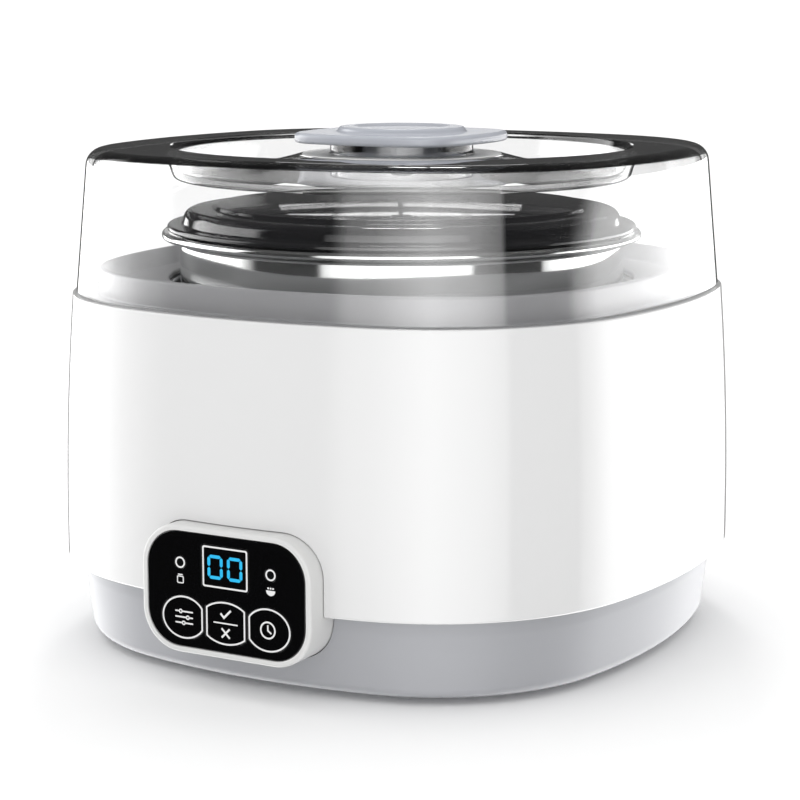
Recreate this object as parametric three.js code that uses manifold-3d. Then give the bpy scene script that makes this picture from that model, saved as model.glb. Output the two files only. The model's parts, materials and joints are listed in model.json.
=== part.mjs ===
// Electric yogurt maker: a rounded-square heating base, a steel bowl with its own inner lid,
// and a clear outer cover lifted by a knob in a round recess.
// Millimetres, +Z up. The bowl's axis is x = 0, the floor is z = 0 and the control panel faces -Y.
import * as THREE from 'three';
import { mergeVertices } from 'three/addons/utils/BufferGeometryUtils.js';
import Module from 'manifold-3d';

const wasm = await Module();
wasm.setup();

// ---------------------------------------------------------------- driving dimensions
const fitGap = 0.3; // air left between neighbouring pieces
const slideGap = 0.25; // air round a piece that slides in another

// Body plan: a square with bowed sides and large corners.
const bodyHalf = 110;
const sideRadius = 216.6;
const cornerRadius = 76.6;

// Body heights.
const footHeight = 2.2;
const panTop = 34;
const shellBottom = 29.5;
const bodyTop = 121.2;
const shellWidest = 36;
const shellBulge = 3.6;

// Walls.
const shellWall = 2.5;
const panWall = 2.4;
const deckWall = 2.0;
const coverWall = 2.2;
const wellWall = 1.2;
const bowlWall = 1.0;
const lidWall = 1.8;

// Base pan.
const panInset = 6; // from the body's widest outline to the pan's
const panDraft = 2.6; // how far the pan narrows towards the floor
const panFillet = 4;

// Deck: a flange inside the shell's top edge, a raised lip, a slope and a floor round the well.
const lipInset = 12.9;
const lipRise = 8.8;
const slopeInset = 21.2;
const deckFloorRise = 3.7;

// Outer cover.
const coverInset = 4.9;
const lidHeadroom = 6.7; // air between the inner lid and the recess's floor
const coverDraft = 3.75;
const coverFillet = 9;
const annulusWidth = 12.25; // flat top between the cover's rounded edge and the recess
const recessDepth = 9.2;
const recessDome = 6.0;
const plateauRadius = 36; // flat middle of the recess's floor
const bossRadius = 25;
const bossRise = 4.0;
const bossDrop = 5.6; // ring under the floor that stiffens it round the screw
const collarThick = 0.8; // seat ring round the boss

// Knob on the cover.
const knobHalf = 33;
const knobSideRadius = 95;
const knobCornerRadius = 15;
const knobThick = 3.5;
const knobCapRadius = 22;
const knobCapRise = 2.6;
const knobDishRadius = 17;
const knobDishDepth = 0.8;

// Bowl, inner lid and well.
const rimInset = 25.8; // from the body's widest outline to the bowl's rolled rim
const rimRoll = 1.4;
const rimRise = 18.6; // rolled rim's centre above the body's top edge
const neckInset = 6.2; // from the rolled rim to the bowl's wall
const bowlTaper = 6.5;
const wellClearance = 2.2; // air between the bowl's wall and the well
const underWell = 51; // height kept free for the heater and the electronics
const lidStep = 5.2;
const lidCrown = 2.8;

// Control panel on the front face.
const panelHalfWidth = 31.9;
const panelHalfHeight = 21.1;
const panelZ = 34.4;
const panelProud = 5; // how far its face stands in front of the shell's widest outline
const panelRadius = 14;
const panelDepth = 15;
const bezel = 2.3;
const keyGap = 1.1; // black strip between neighbouring keys
const keyMargin = 2.3; // black strip below the keys
const keySideMargin = 5.2; // black strip beside the outer keys
const keyMiddle = 7.5; // half-width of the middle key
const keyFlatCut = 0.6; // what an outer key's disc loses on its flat side, per radius
const keyTravel = 0.6;
const displayHalfWidth = 8.6;
const displayHalfHeight = 6.8;
const displayMargin = 3.3; // black strip above the display
const rowGap = 4.0; // black strip between the display and the keys
const lampRadius = 1.9;
const lampInset = 7.3; // from the outer keys' far edge to a lamp's centre

// Inlet in the rear wall.
const inletHalfWidth = 12;
const inletHalfHeight = 7;
const inletZ = 16;
const inletDepth = 18;
const socketHalfWidth = 8.4;
const socketRadius = 4.6;
const socketDepth = 12;
const pinPitch = 8.6;
const pinRadius = 1.2;

// Fasteners and feet.
const postInset = 13; // from the body's half-width to each corner post
const postRadius = 4.5;
const screwRadius = 1.5;
const headRadius = 3.1;
const headHeight = 2;
const bossHeight = 6.5; // pan's screw bosses above the pan's underside
const footInset = 33;
const footRadius = 8;

// ---------------------------------------------------------------- worked-out sizes
const RING_SIDE = 4; // segments along a bowed side
const RING_CORNER = 6; // segments round a corner
const ROUND = 4 * (RING_SIDE + RING_CORNER);
const HIDDEN_ROUND = 32;

const panBottom = footHeight + fitGap;
const panHalf = bodyHalf - panInset;
const lipHalf = bodyHalf - lipInset;
const slopeHalf = bodyHalf - slopeInset;
const deckFloor = bodyTop + deckFloorRise;
const lipTop = bodyTop + lipRise;
const rimRadius = bodyHalf - rimInset;
const rimZ = bodyTop + rimRise;
const neckRadius = rimRadius - neckInset;
const mouthRadius = neckRadius + wellClearance + wellWall + fitGap;
const wellFloor = underWell + wellWall;
const bowlBottom = wellFloor + fitGap;
const lidFlange = rimRadius - 2.1;
const lidSeat = rimZ + rimRoll + fitGap;
const lidTop = lidSeat + 2 + lidStep;
const coverFoot = bodyTop + fitGap;
const coverTop = lidTop + lidCrown + lidHeadroom + coverWall + recessDepth;
const coverHalf = bodyHalf - coverInset;
const coverTopHalf = coverHalf - coverDraft;
const recessRadius = coverTopHalf - coverFillet - annulusWidth;
const recessEdge = coverTop - recessDepth;
const recessCentre = recessEdge + recessDome;
const knobBottom = recessCentre + bossRise + fitGap;
const knobTop = knobBottom + knobThick + knobCapRise;
const panelFace = -(bodyHalf + panelProud);
const lensHalfWidth = panelHalfWidth - bezel;
const lensHalfHeight = panelHalfHeight - bezel;
const displayZ = panelZ + lensHalfHeight - displayMargin - displayHalfHeight;
const keyHalfHeight = lensHalfHeight - displayHalfHeight - (displayMargin + rowGap + keyMargin) / 2;
const keyZ = panelZ - lensHalfHeight + keyMargin + keyHalfHeight;
const keyOuter = lensHalfWidth - keySideMargin;
const lampX = keyOuter - lampInset;
const postReach = bodyHalf - postInset;
const footReach = bodyHalf - footInset;

const wellTop = deckFloor - deckWall - fitGap;
const wellMouth = neckRadius + wellClearance;
const wellFoot = wellMouth - bowlTaper;
const wellFlange = 6;
const wellBossRadius = 2.9;
const wellScrewReach = wellMouth + wellFlange + fitGap + wellBossRadius;
const wellScrewZ = wellTop - wellWall;

// ---------------------------------------------------------------- materials
const finish = (color, roughness, metalness = 0) =>
  new THREE.MeshStandardMaterial({ color, roughness, metalness });

const glossWhite = finish('#f1f1f0', 0.16);
const satinGrey = finish('#b3b3b7', 0.42);
const deckWhite = finish('#ececec', 0.3);
const clearPlastic = finish('#dfe4e6', 0.06);
const smokedPlastic = finish('#4a4a4c', 0.12);
const knobGrey = finish('#c9cbd1', 0.3);
const steel = finish('#c8c9ca', 0.18, 1);
const aluminium = finish('#b9bbbd', 0.4, 1);
const blackGloss = finish('#050506', 0.08);
const rubber = finish('#3a3a3c', 0.85);
const silicone = finish('#e4e4e2', 0.6);
const brass = finish('#c9b27a', 0.35, 1);
const zincSteel = finish('#a9abad', 0.4, 1);
const boardGreen = finish('#2c5a3c', 0.5);
const blackPlastic = finish('#1c1c1e', 0.5);
const feltWhite = finish('#d8d4c8', 0.95);
const lampLens = finish('#e9f2f4', 0.2);
const displayBlack = finish('#0a1114', 0.15);
const copperYellow = finish('#c79a3a', 0.5);

// ---------------------------------------------------------------- geometry tools
const TAU = Math.PI * 2;
const rad = THREE.MathUtils.degToRad;

// Points round a square with bowed sides, anticlockwise, for a half-width and its two radii.
function roundedSquare(half, side, corner, sideSteps = RING_SIDE, cornerSteps = RING_CORNER) {
  const c = half - side;
  const reach = side - corner;
  const k = (c + Math.sqrt(2 * reach * reach - c * c)) / 2;
  const join = Math.atan2(k, k - c);
  const points = [];
  for (let quarter = 0; quarter < 4; quarter++) {
    const turn = (quarter * Math.PI) / 2;
    const add = (cx, cy, radius, angle) => {
      const x = cx + radius * Math.cos(angle);
      const y = cy + radius * Math.sin(angle);
      const px = x * Math.cos(turn) - y * Math.sin(turn);
      const py = x * Math.sin(turn) + y * Math.cos(turn);
      points.push(new THREE.Vector2(px, py));
    };
    for (let i = 0; i < sideSteps; i++) add(c, 0, side, join * ((2 * i) / sideSteps - 1));
    for (let i = 0; i < cornerSteps; i++) {
      add(k, k, corner, join + (Math.PI / 2 - 2 * join) * (i / cornerSteps));
    }
  }
  return points;
}

// One ring of a loft. square follows the body's outline moved inwards, round is a circle.
function square(half, z) {
  const inset = bodyHalf - half;
  const points = roundedSquare(half, sideRadius - inset, cornerRadius - inset);
  return points.map((p) => new THREE.Vector3(p.x, p.y, z));
}

function round(radius, z) {
  return square(bodyHalf, z).map((p) => {
    const angle = Math.atan2(p.y, p.x);
    return new THREE.Vector3(radius * Math.cos(angle), radius * Math.sin(angle), z);
  });
}

// Closed skin through rings of equal counts. A ring profile closes on itself, else both ends are capped.
function loft(rings, isRing = false) {
  const count = rings[0].length;
  const positions = rings.flat().flatMap((p) => [p.x, p.y, p.z]);
  const index = [];
  const last = isRing ? rings.length : rings.length - 1;
  for (let i = 0; i < last; i++) {
    const low = i * count;
    const high = ((i + 1) % rings.length) * count;
    for (let j = 0; j < count; j++) {
      const next = (j + 1) % count;
      index.push(low + j, low + next, high + next);
      index.push(low + j, high + next, high + j);
    }
  }
  if (!isRing) {
    const bottom = positions.length / 3;
    positions.push(0, 0, rings[0][0].z, 0, 0, rings.at(-1)[0].z);
    const top = (rings.length - 1) * count;
    for (let j = 0; j < count; j++) {
      const next = (j + 1) % count;
      index.push(bottom, next, j);
      index.push(bottom + 1, top + j, top + next);
    }
  }
  const geometry = new THREE.BufferGeometry();
  geometry.setAttribute('position', new THREE.Float32BufferAttribute(positions, 3));
  geometry.setIndex(index);
  geometry.computeVertexNormals();
  return geometry;
}

// Turned piece about Z from [radius, z] pairs.
function turned(profile, segments = ROUND) {
  const points = profile.map(([r, z]) => new THREE.Vector2(r, z));
  return new THREE.LatheGeometry(points, segments).rotateX(Math.PI / 2);
}

// Turned piece whose profile closes on itself.
function turnedRing(profile, segments = ROUND) {
  return turned([...profile, profile[0]], segments);
}

function disc(radius, z0, z1, segments = 16, x = 0, y = 0) {
  const shape = [[0, z0], [radius, z0], [radius, z1], [0, z1]];
  return turned(shape, segments).translate(x, y, 0);
}

function box(x0, x1, y0, y1, z0, z1) {
  const geometry = new THREE.BoxGeometry(x1 - x0, y1 - y0, z1 - z0);
  return geometry.translate((x0 + x1) / 2, (y0 + y1) / 2, (z0 + z1) / 2);
}

// Prism of an outline drawn in x and z, from y0 back to y1.
function frontPrism(points, y0, y1) {
  const shape = new THREE.Shape(points.map(([x, z]) => new THREE.Vector2(x, z)));
  const geometry = new THREE.ExtrudeGeometry(shape, { depth: y1 - y0, bevelEnabled: false });
  return geometry.rotateX(Math.PI / 2).translate(0, y1, 0);
}

function roundedRect(halfWidth, halfHeight, radius, cx, cz, steps = 6) {
  const points = [];
  for (let quarter = 0; quarter < 4; quarter++) {
    const sx = quarter === 0 || quarter === 3 ? 1 : -1;
    const sz = quarter < 2 ? 1 : -1;
    for (let i = 0; i <= steps; i++) {
      const angle = (quarter + i / steps) * (Math.PI / 2);
      const x = cx + sx * (halfWidth - radius) + radius * Math.cos(angle);
      points.push([x, cz + sz * (halfHeight - radius) + radius * Math.sin(angle)]);
    }
  }
  return points;
}

function circle(radius, cx, cz, steps = 12) {
  const at = (i) => (i / steps) * TAU;
  return Array.from({ length: steps }, (_, i) => [
    cx + radius * Math.cos(at(i)),
    cz + radius * Math.sin(at(i)),
  ]);
}

// A disc cut flat at cx + low and cx + high, as the keys are.
function cutDisc(radiusX, radiusZ, cx, cz, low, high, steps = 9) {
  const points = [];
  const top = Math.acos(Math.max(-1, Math.min(1, high / radiusX)));
  const end = Math.acos(Math.max(-1, Math.min(1, low / radiusX)));
  for (let i = 0; i <= steps; i++) {
    const angle = top + (end - top) * (i / steps);
    points.push([cx + radiusX * Math.cos(angle), cz + radiusZ * Math.sin(angle)]);
  }
  const under = points.map(([x, z]) => [x, 2 * cz - z]).reverse();
  const sharp = (a, b) => Math.hypot(a[0] - b[0], a[1] - b[1]) < 1e-6;
  return [...points, ...under].filter((p, i, all) => !sharp(p, all[(i + 1) % all.length]));
}

function solid(geometry) {
  const bare = geometry.clone();
  bare.deleteAttribute('normal');
  bare.deleteAttribute('uv');
  const merged = mergeVertices(bare, 1e-4);
  const vertProperties = new Float32Array(merged.attributes.position.array);
  const triVerts = new Uint32Array(merged.index.array);
  return new wasm.Manifold(new wasm.Mesh({ numProp: 3, vertProperties, triVerts }));
}

function combine(base, { add = [], cut = [] }) {
  let body = solid(base);
  for (const piece of add) body = body.add(solid(piece));
  for (const piece of cut) body = body.subtract(solid(piece));
  const mesh = body.getMesh();
  const geometry = new THREE.BufferGeometry();
  geometry.setAttribute('position', new THREE.BufferAttribute(mesh.vertProperties, 3));
  geometry.setIndex(new THREE.BufferAttribute(mesh.triVerts, 1));
  geometry.computeVertexNormals();
  return geometry;
}

const yogurtMaker = new THREE.Group();

function place(parent, name, geometry, material) {
  const mesh = new THREE.Mesh(geometry, material);
  mesh.name = name;
  parent.add(mesh);
  return mesh;
}

const corners = [0, 1, 2, 3].map((i) => rad(45 + 90 * i));
const quarters = [0, 1, 2, 3].map((i) => rad(90 * i));
const spot = (reach, angle) => [reach * Math.cos(angle), reach * Math.sin(angle)];

// ---------------------------------------------------------------- outer shell
const shellHalfAt = (z) => {
  const share = Math.max(0, (z - shellWidest) / (bodyTop - shellWidest));
  return bodyHalf - shellBulge * share * share;
};

const panelCut = (grow) => roundedRect(
  panelHalfWidth + grow, panelHalfHeight + grow, panelRadius + grow, 0, panelZ);

function outerShell() {
  const lowLip = 2;
  const steps = 5;
  const levels = Array.from({ length: steps }, (_, i) => (
    shellWidest + ((bodyTop - 0.8 - shellWidest) * i) / (steps - 1)));
  const profile = [
    square(panHalf + fitGap, shellBottom),
    square(bodyHalf - 0.8, shellBottom),
    square(bodyHalf, shellBottom + 0.9),
    ...levels.map((z) => square(shellHalfAt(z), z)),
    square(shellHalfAt(bodyTop) - 0.7, bodyTop),
    square(shellHalfAt(bodyTop) - shellWall - 0.4, bodyTop),
    ...levels.toReversed().map((z) => square(shellHalfAt(z) - shellWall, z)),
    square(bodyHalf - shellWall, shellBottom + lowLip),
    square(panHalf + fitGap, shellBottom + lowLip),
  ];
  const window = frontPrism(panelCut(fitGap), panelFace - 5, panelFace + 30);
  return combine(loft(profile, true), { cut: [window] });
}

// ---------------------------------------------------------------- base pan
const panHalfAt = (z) => panHalf - panDraft * Math.max(0, (24 - z) / (24 - panBottom));

function basePan() {
  const outer = [];
  for (let i = 0; i <= 3; i++) {
    const angle = (i / 3) * (Math.PI / 2);
    const z = panBottom + panFillet * (1 - Math.cos(angle));
    outer.push(square(panHalfAt(z) - panFillet * (1 - Math.sin(angle)), z));
  }
  const profile = [
    ...outer,
    square(panHalf, 24),
    square(panHalf, panTop),
    square(panHalf - panWall, panTop),
    square(panHalf - panWall, 24),
    square(panHalfAt(panBottom + panFillet) - panWall, panBottom + panFillet + 1),
    square(panHalfAt(panBottom) - panFillet - 1, panBottom + panWall),
  ];
  const bosses = corners.map((a) => {
    const [x, y] = spot(postReach, a);
    return disc(headRadius + 2.4, panBottom + 1, panBottom + bossHeight, 12, x, y);
  });
  const sinks = corners.map((a) => {
    const [x, y] = spot(postReach, a);
    return disc(headRadius + 0.5, panBottom - 1, panBottom + bossHeight - 2.4, 12, x, y);
  });
  const holes = corners.map((a) => {
    const [x, y] = spot(postReach, a);
    return disc(screwRadius + fitGap, panBottom, panBottom + bossHeight + 2, 10, x, y);
  });
  const footHoles = corners.map((a) => {
    const [x, y] = spot(footReach, a);
    return disc(3 + fitGap, panBottom - 1, panBottom + 6, 12, x, y);
  });
  const vents = [];
  for (const side of [-1, 1]) {
    for (let row = 0; row < 4; row++) {
      const y = -24 + row * 16;
      const x = side * 30;
      vents.push(box(x - 14, x + 14, y - 1.6, y + 1.6, panBottom - 1, panBottom + 4));
    }
  }
  const window = frontPrism(panelCut(fitGap), panelFace - 5, panelFace + 30);
  const g = fitGap;
  const inletCut = box(
    -inletHalfWidth - g, inletHalfWidth + g, bodyHalf - 30, bodyHalf + 5,
    inletZ - inletHalfHeight - g, inletZ + inletHalfHeight + g);
  return combine(loft(profile), {
    add: bosses, cut: [...sinks, ...holes, ...footHoles, ...vents, window, inletCut],
  });
}

// ---------------------------------------------------------------- top deck with its corner posts
const flangeOuter = shellHalfAt(bodyTop) - shellWall - 0.4 - fitGap;
const postBottom = panBottom + bossHeight + fitGap;

function topDeck() {
  const w = deckWall;
  const profile = [
    square(flangeOuter, bodyTop - 0.3 - w),
    square(flangeOuter, bodyTop - 0.3),
    square(lipHalf + 0.8, bodyTop - 0.3),
    square(lipHalf + 0.1, bodyTop + 0.5),
    square(lipHalf, lipTop - 0.8),
    square(lipHalf - 0.6, lipTop),
    square(lipHalf - 1.4, lipTop),
    square(lipHalf - 1.9, lipTop - 0.7),
    square(slopeHalf + 0.8, deckFloor + 0.4),
    square(slopeHalf, deckFloor),
    round(mouthRadius + 0.6, deckFloor),
    round(mouthRadius, deckFloor - 0.6),
    round(mouthRadius, deckFloor - w),
    square(slopeHalf - 0.3, deckFloor - w),
    square(lipHalf - w - 1, deckFloor + 0.6),
    square(lipHalf - w - 1, bodyTop - 0.3 - w),
  ];
  const posts = corners.map((a) => {
    const [x, y] = spot(postReach, a);
    return disc(postRadius, postBottom, deckFloor - 1, 14, x, y);
  });
  const pilots = corners.map((a) => {
    const [x, y] = spot(postReach, a);
    return disc(screwRadius + fitGap, postBottom - 1, postBottom + 9, 10, x, y);
  });
  const bosses = quarters.map((a) => {
    const [x, y] = spot(wellScrewReach, a);
    return disc(wellBossRadius, wellScrewZ, deckFloor - 0.8, 12, x, y);
  });
  const wellPilots = quarters.map((a) => {
    const [x, y] = spot(wellScrewReach, a);
    return disc(screwRadius + fitGap, wellScrewZ - 1, deckFloor - 1, 8, x, y);
  });
  return combine(loft(profile, true), { add: [...posts, ...bosses], cut: [...pilots, ...wellPilots] });
}

// ---------------------------------------------------------------- heating well and what warms it
function heatingWell() {
  const t = wellWall;
  const bend = 5;
  return turned([
    [0, underWell], [wellFoot - bend, underWell], [wellFoot, underWell + bend],
    [wellMouth + t, wellTop - t], [wellMouth + wellFlange, wellTop - t],
    [wellMouth + wellFlange, wellTop], [wellMouth, wellTop],
    [wellFoot - t, underWell + bend + t], [wellFoot - bend, wellFloor], [0, wellFloor],
  ], HIDDEN_ROUND);
}

const heaterTop = underWell - fitGap;
const plateThick = 3;
const plateRadius = wellFoot - 15.7;
const elementOuter = plateRadius - 12;
const elementInner = elementOuter - 8;
const clampReach = elementOuter + 6;
const elementTop = heaterTop - plateThick - fitGap;
const elementBottom = elementTop - 3.4;

function heaterElement() {
  const gap = rad(24);
  const shape = new THREE.Shape();
  shape.absarc(0, 0, elementOuter, gap, TAU - gap, false);
  shape.absarc(0, 0, elementInner, TAU - gap, gap, true);
  const options = { depth: elementTop - elementBottom, bevelEnabled: false, curveSegments: 12 };
  return new THREE.ExtrudeGeometry(shape, options).translate(0, 0, elementBottom);
}

function heaterPlate() {
  const under = heaterTop - plateThick;
  const holes = [-1, 1].map((side) => (
    disc(screwRadius + fitGap, under - 1, under + 2, 10, side * clampReach, 0)));
  return combine(disc(plateRadius, under, heaterTop, 28), { cut: holes });
}

function insulationRing() {
  const lean = (z) => wellFoot + (wellMouth + wellWall - wellFoot)
    * ((z - underWell - 5) / (wellTop - wellWall - underWell - 5));
  const low = underWell + 8;
  const high = wellTop - 9;
  const inner = 0.8;
  return turnedRing([
    [lean(low) + inner, low], [lean(low) + 5, low], [lean(high) + 5, high], [lean(high) + inner, high],
  ], HIDDEN_ROUND);
}

// ---------------------------------------------------------------- steel bowl
const bowlFoot = neckRadius - bowlTaper;
const bowlNeckHeight = 12; // upright band under the rim

function innerBowl() {
  const t = bowlWall;
  const bend = 9;
  const rollCentre = rimRadius - rimRoll;
  const neckZ = rimZ - 5;
  const profile = [];
  profile.push([0, bowlBottom]);
  for (let i = 0; i <= 3; i++) {
    const a = (i / 3) * (Math.PI / 2);
    profile.push([bowlFoot - bend + bend * Math.sin(a), bowlBottom + bend * (1 - Math.cos(a))]);
  }
  profile.push([neckRadius, neckZ - bowlNeckHeight]);
  profile.push([neckRadius, neckZ]);
  profile.push([neckRadius + 1.6, neckZ + 2.2]);
  for (let i = 0; i <= 5; i++) {
    const a = rad(-120 + i * 48);
    profile.push([rollCentre + rimRoll * Math.cos(a), rimZ + rimRoll * Math.sin(a)]);
  }
  profile.push([neckRadius + 0.9, neckZ + 3.2]);
  profile.push([neckRadius - t, neckZ]);
  profile.push([neckRadius - t, neckZ - bowlNeckHeight]);
  for (let i = 3; i >= 0; i--) {
    const a = (i / 3) * (Math.PI / 2);
    const r = bend - t;
    profile.push([bowlFoot - bend + r * Math.sin(a), bowlBottom + t + r * (1 - Math.cos(a))]);
  }
  profile.push([0, bowlBottom + t]);
  return turned(profile);
}

// ---------------------------------------------------------------- inner lid and gasket
const skirtOuter = neckRadius - 2.6;

function innerLid() {
  const z = lidSeat;
  const plateau = lidFlange - 9.6;
  return turned([
    [0, lidTop + 1.2 - lidWall], [plateau - 10, lidTop + 0.6 - lidWall],
    [plateau - 0.6, lidTop - 1.2 - lidWall], [skirtOuter - 2, z - 0.4],
    [skirtOuter - 2, z - 5], [skirtOuter, z - 5], [skirtOuter, z],
    [lidFlange - 0.5, z], [lidFlange, z + 0.6], [lidFlange, z + 1.4], [lidFlange - 0.6, z + 2],
    [lidFlange - 5, z + 2], [lidFlange - 5.6, z + 3.4], [lidFlange - 7, z + 5.6],
    [plateau, lidTop], [plateau - 6, lidTop + 0.2], [plateau - 7, lidTop + 1.3],
    [plateau - 30, lidTop + 2.2], [0, lidTop + lidCrown],
  ]);
}

function lidGasket() {
  const z = lidSeat - 3.6;
  const inner = skirtOuter + fitGap;
  return turnedRing([[inner, z - 1], [inner + 0.9, z - 0.4], [inner + 0.9, z + 0.6], [inner, z + 1.2]]);
}

// ---------------------------------------------------------------- outer cover, knob and its screw
const knobScrewRadius = 2.2;

function outerCover() {
  const t = coverWall;
  const bend = coverFillet;
  const corner = [];
  const inner = [];
  for (let i = 0; i <= 4; i++) {
    const a = (i / 4) * (Math.PI / 2);
    const outZ = coverTop - bend * (1 - Math.sin(a));
    corner.push(square(coverTopHalf - bend * (1 - Math.cos(a)), outZ));
    const r = bend - t;
    inner.push(square(coverTopHalf - bend + r * Math.cos(a), coverTop - bend + r * Math.sin(a)));
  }
  const floorAt = (r) => {
    const share = Math.max(0, r - plateauRadius) / (recessRadius - 3 - plateauRadius);
    return recessCentre - recessDome * share * (2 - share);
  };
  const floorSteps = [0.72, 0.45, 0.2, 0].map((share) => (
    plateauRadius + share * (recessRadius - 3 - plateauRadius)));
  const hole = knobScrewRadius + fitGap;
  const profile = [
    square(coverHalf - t, coverFoot),
    square(coverHalf, coverFoot),
    ...corner,
    round(recessRadius + 1, coverTop - 0.1),
    round(recessRadius, coverTop - 0.7),
    round(recessRadius - 1.6, recessEdge + 1.4),
    round(recessRadius - 3.4, floorAt(recessRadius - 3.4)),
    ...floorSteps.map((r) => round(r, floorAt(r))),
    round(bossRadius, recessCentre),
    round(bossRadius, knobBottom - fitGap),
    round(bossRadius - t, knobBottom - fitGap),
    round(bossRadius - t, recessCentre - 0.6),
    round(hole, recessCentre - 0.6),
    round(hole, recessCentre - t - 0.6),
    round(bossRadius - t, recessCentre - t - 0.6),
    round(bossRadius - t, recessCentre - t - bossDrop),
    round(bossRadius, recessCentre - t - bossDrop),
    round(bossRadius, recessCentre - t - 0.3),
    ...floorSteps.toReversed().map((r) => round(r, floorAt(r) - t)),
    round(recessRadius - 2.2, recessEdge - t),
    round(recessRadius - 0.4, recessEdge - t + 1),
    round(recessRadius + 0.6, recessEdge + 1),
    round(recessRadius + t - 0.2, coverTop - t - 1.4),
    round(recessRadius + t + 1, coverTop - t),
    ...inner.toReversed(),
  ];
  return loft(profile, true);
}

function coverKnob() {
  const plan = (inset, z) => roundedSquare(
    knobHalf - inset, knobSideRadius - inset, knobCornerRadius - inset,
  ).map((p) => new THREE.Vector3(p.x, p.y, z));
  const ring = (r, z) => round(r, z);
  const stem = bossRadius - coverWall - slideGap;
  const z = knobBottom;
  const outer = loft([
    ring(stem, recessCentre - 0.6 + fitGap),
    ring(stem, z),
    plan(1.2, z),
    plan(0, z + 1),
    plan(0, z + 2.3),
    plan(1.2, z + knobThick),
    ring(knobCapRadius + 0.8, z + knobThick),
    ring(knobCapRadius, z + knobThick + 0.8),
    ring(knobCapRadius - 0.3, knobTop - 0.7),
    ring(knobCapRadius - 1.1, knobTop),
    ring(knobDishRadius + 1.4, knobTop),
    ring(knobDishRadius - 2, knobTop - knobDishDepth),
  ]);
  const pilot = disc(knobScrewRadius + fitGap, recessCentre - 2, z + knobThick - 1, 12);
  return combine(outer, { cut: [pilot] });
}

function knobCollar() {
  const inner = bossRadius + fitGap;
  const outer = plateauRadius - 1;
  const z = recessCentre + fitGap;
  return turnedRing([
    [inner, z], [outer, z], [outer, z + collarThick - 0.3], [outer - 0.4, z + collarThick],
    [inner, z + collarThick],
  ]);
}

function knobScrew() {
  const under = recessCentre - coverWall - 0.6 - fitGap;
  const washer = 1;
  const seat = under - washer - fitGap;
  return turned([
    [0, seat - 2.4], [3.6, seat - 2.4], [4.4, seat - 1.6], [4.4, seat],
    [knobScrewRadius, seat], [knobScrewRadius, knobBottom + 1.6], [0, knobBottom + 1.6],
  ], 12);
}

function knobWasher() {
  const under = recessCentre - coverWall - 0.6 - fitGap;
  const inner = knobScrewRadius + fitGap;
  return turnedRing([[inner, under - 1], [7, under - 1], [7, under], [inner, under]], 14);
}

// ---------------------------------------------------------------- control panel
const lensFront = panelFace + 0.3;
const lensBack = lensFront + 1.6;
const webFront = lensBack + fitGap;
const webBack = webFront + 1.6;
const boardFront = panelFace + 10.2;
const boardBack = boardFront + 1.6;
const keyFront = lensFront;
const keyTab = 1.4; // how far a key's tab reaches behind the panel's web

// An outer key is a disc cut flat on the side towards the middle key.
const outerKeyRadius = (keyOuter - keyMiddle - keyGap) / 2 + keyFlatCut;
const outerKeyX = keyOuter - outerKeyRadius;
const outerKeyFlat = outerKeyX - keyMiddle - keyGap;

// Each key: outline grown by an amount, about its own centre.
const keyShapes = {
  key_function: (grow) => cutDisc(outerKeyRadius + grow, keyHalfHeight + grow, -outerKeyX, keyZ,
    -outerKeyRadius - grow, outerKeyFlat + grow),
  key_confirm: (grow) => cutDisc(keyMiddle + 2.6 + grow, keyHalfHeight + grow, 0, keyZ,
    -keyMiddle - grow, keyMiddle + grow),
  key_time: (grow) => cutDisc(outerKeyRadius + grow, keyHalfHeight + grow, outerKeyX, keyZ,
    -outerKeyFlat - grow, outerKeyRadius + grow),
};
const keyCentres = { key_function: -outerKeyX, key_confirm: 0, key_time: outerKeyX };

const displayOutline = (grow) => roundedRect(
  displayHalfWidth + grow, displayHalfHeight + grow, 1, 0, displayZ, 2);

// Cutters for the keys, the display and the lamps.
function panelOpenings(front, back) {
  const lampHole = (x) => frontPrism(circle(lampRadius + fitGap, x, displayZ), front, back);
  return [
    ...Object.values(keyShapes).map((shape) => frontPrism(shape(slideGap), front, back)),
    frontPrism(displayOutline(fitGap), front, back),
    lampHole(-lampX),
    lampHole(lampX),
  ];
}

function panelHousing() {
  const outline = panelCut(0);
  const inner = (inset) => roundedRect(
    panelHalfWidth - inset, panelHalfHeight - inset, panelRadius - inset, 0, panelZ, 5);
  const body = frontPrism(outline, panelFace, panelFace + panelDepth);
  const lensPocket = frontPrism(inner(bezel - fitGap), panelFace - 1, webFront);
  const rear = frontPrism(inner(bezel), webBack, panelFace + panelDepth + 1);
  return combine(body, { cut: [lensPocket, rear, ...panelOpenings(webFront - 1, webBack + 1)] });
}

function panelLens() {
  const outline = roundedRect(
    panelHalfWidth - bezel, panelHalfHeight - bezel, panelRadius - bezel, 0, panelZ);
  return combine(frontPrism(outline, lensFront, lensBack), { cut: panelOpenings(lensFront - 1, lensBack + 1) });
}

// ---------------------------------------------------------------- assembly: the base
const base = new THREE.Group();
yogurtMaker.add(base);
place(base, 'outer_shell', outerShell(), glossWhite);
place(base, 'base_pan', basePan(), satinGrey);
place(base, 'top_deck', topDeck(), deckWhite);
place(base, 'heating_well', heatingWell(), aluminium);
place(base, 'insulation_ring', insulationRing(), feltWhite);
place(base, 'heater_plate', heaterPlate(), aluminium);
place(base, 'heater_element', heaterElement(), steel);

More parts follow.
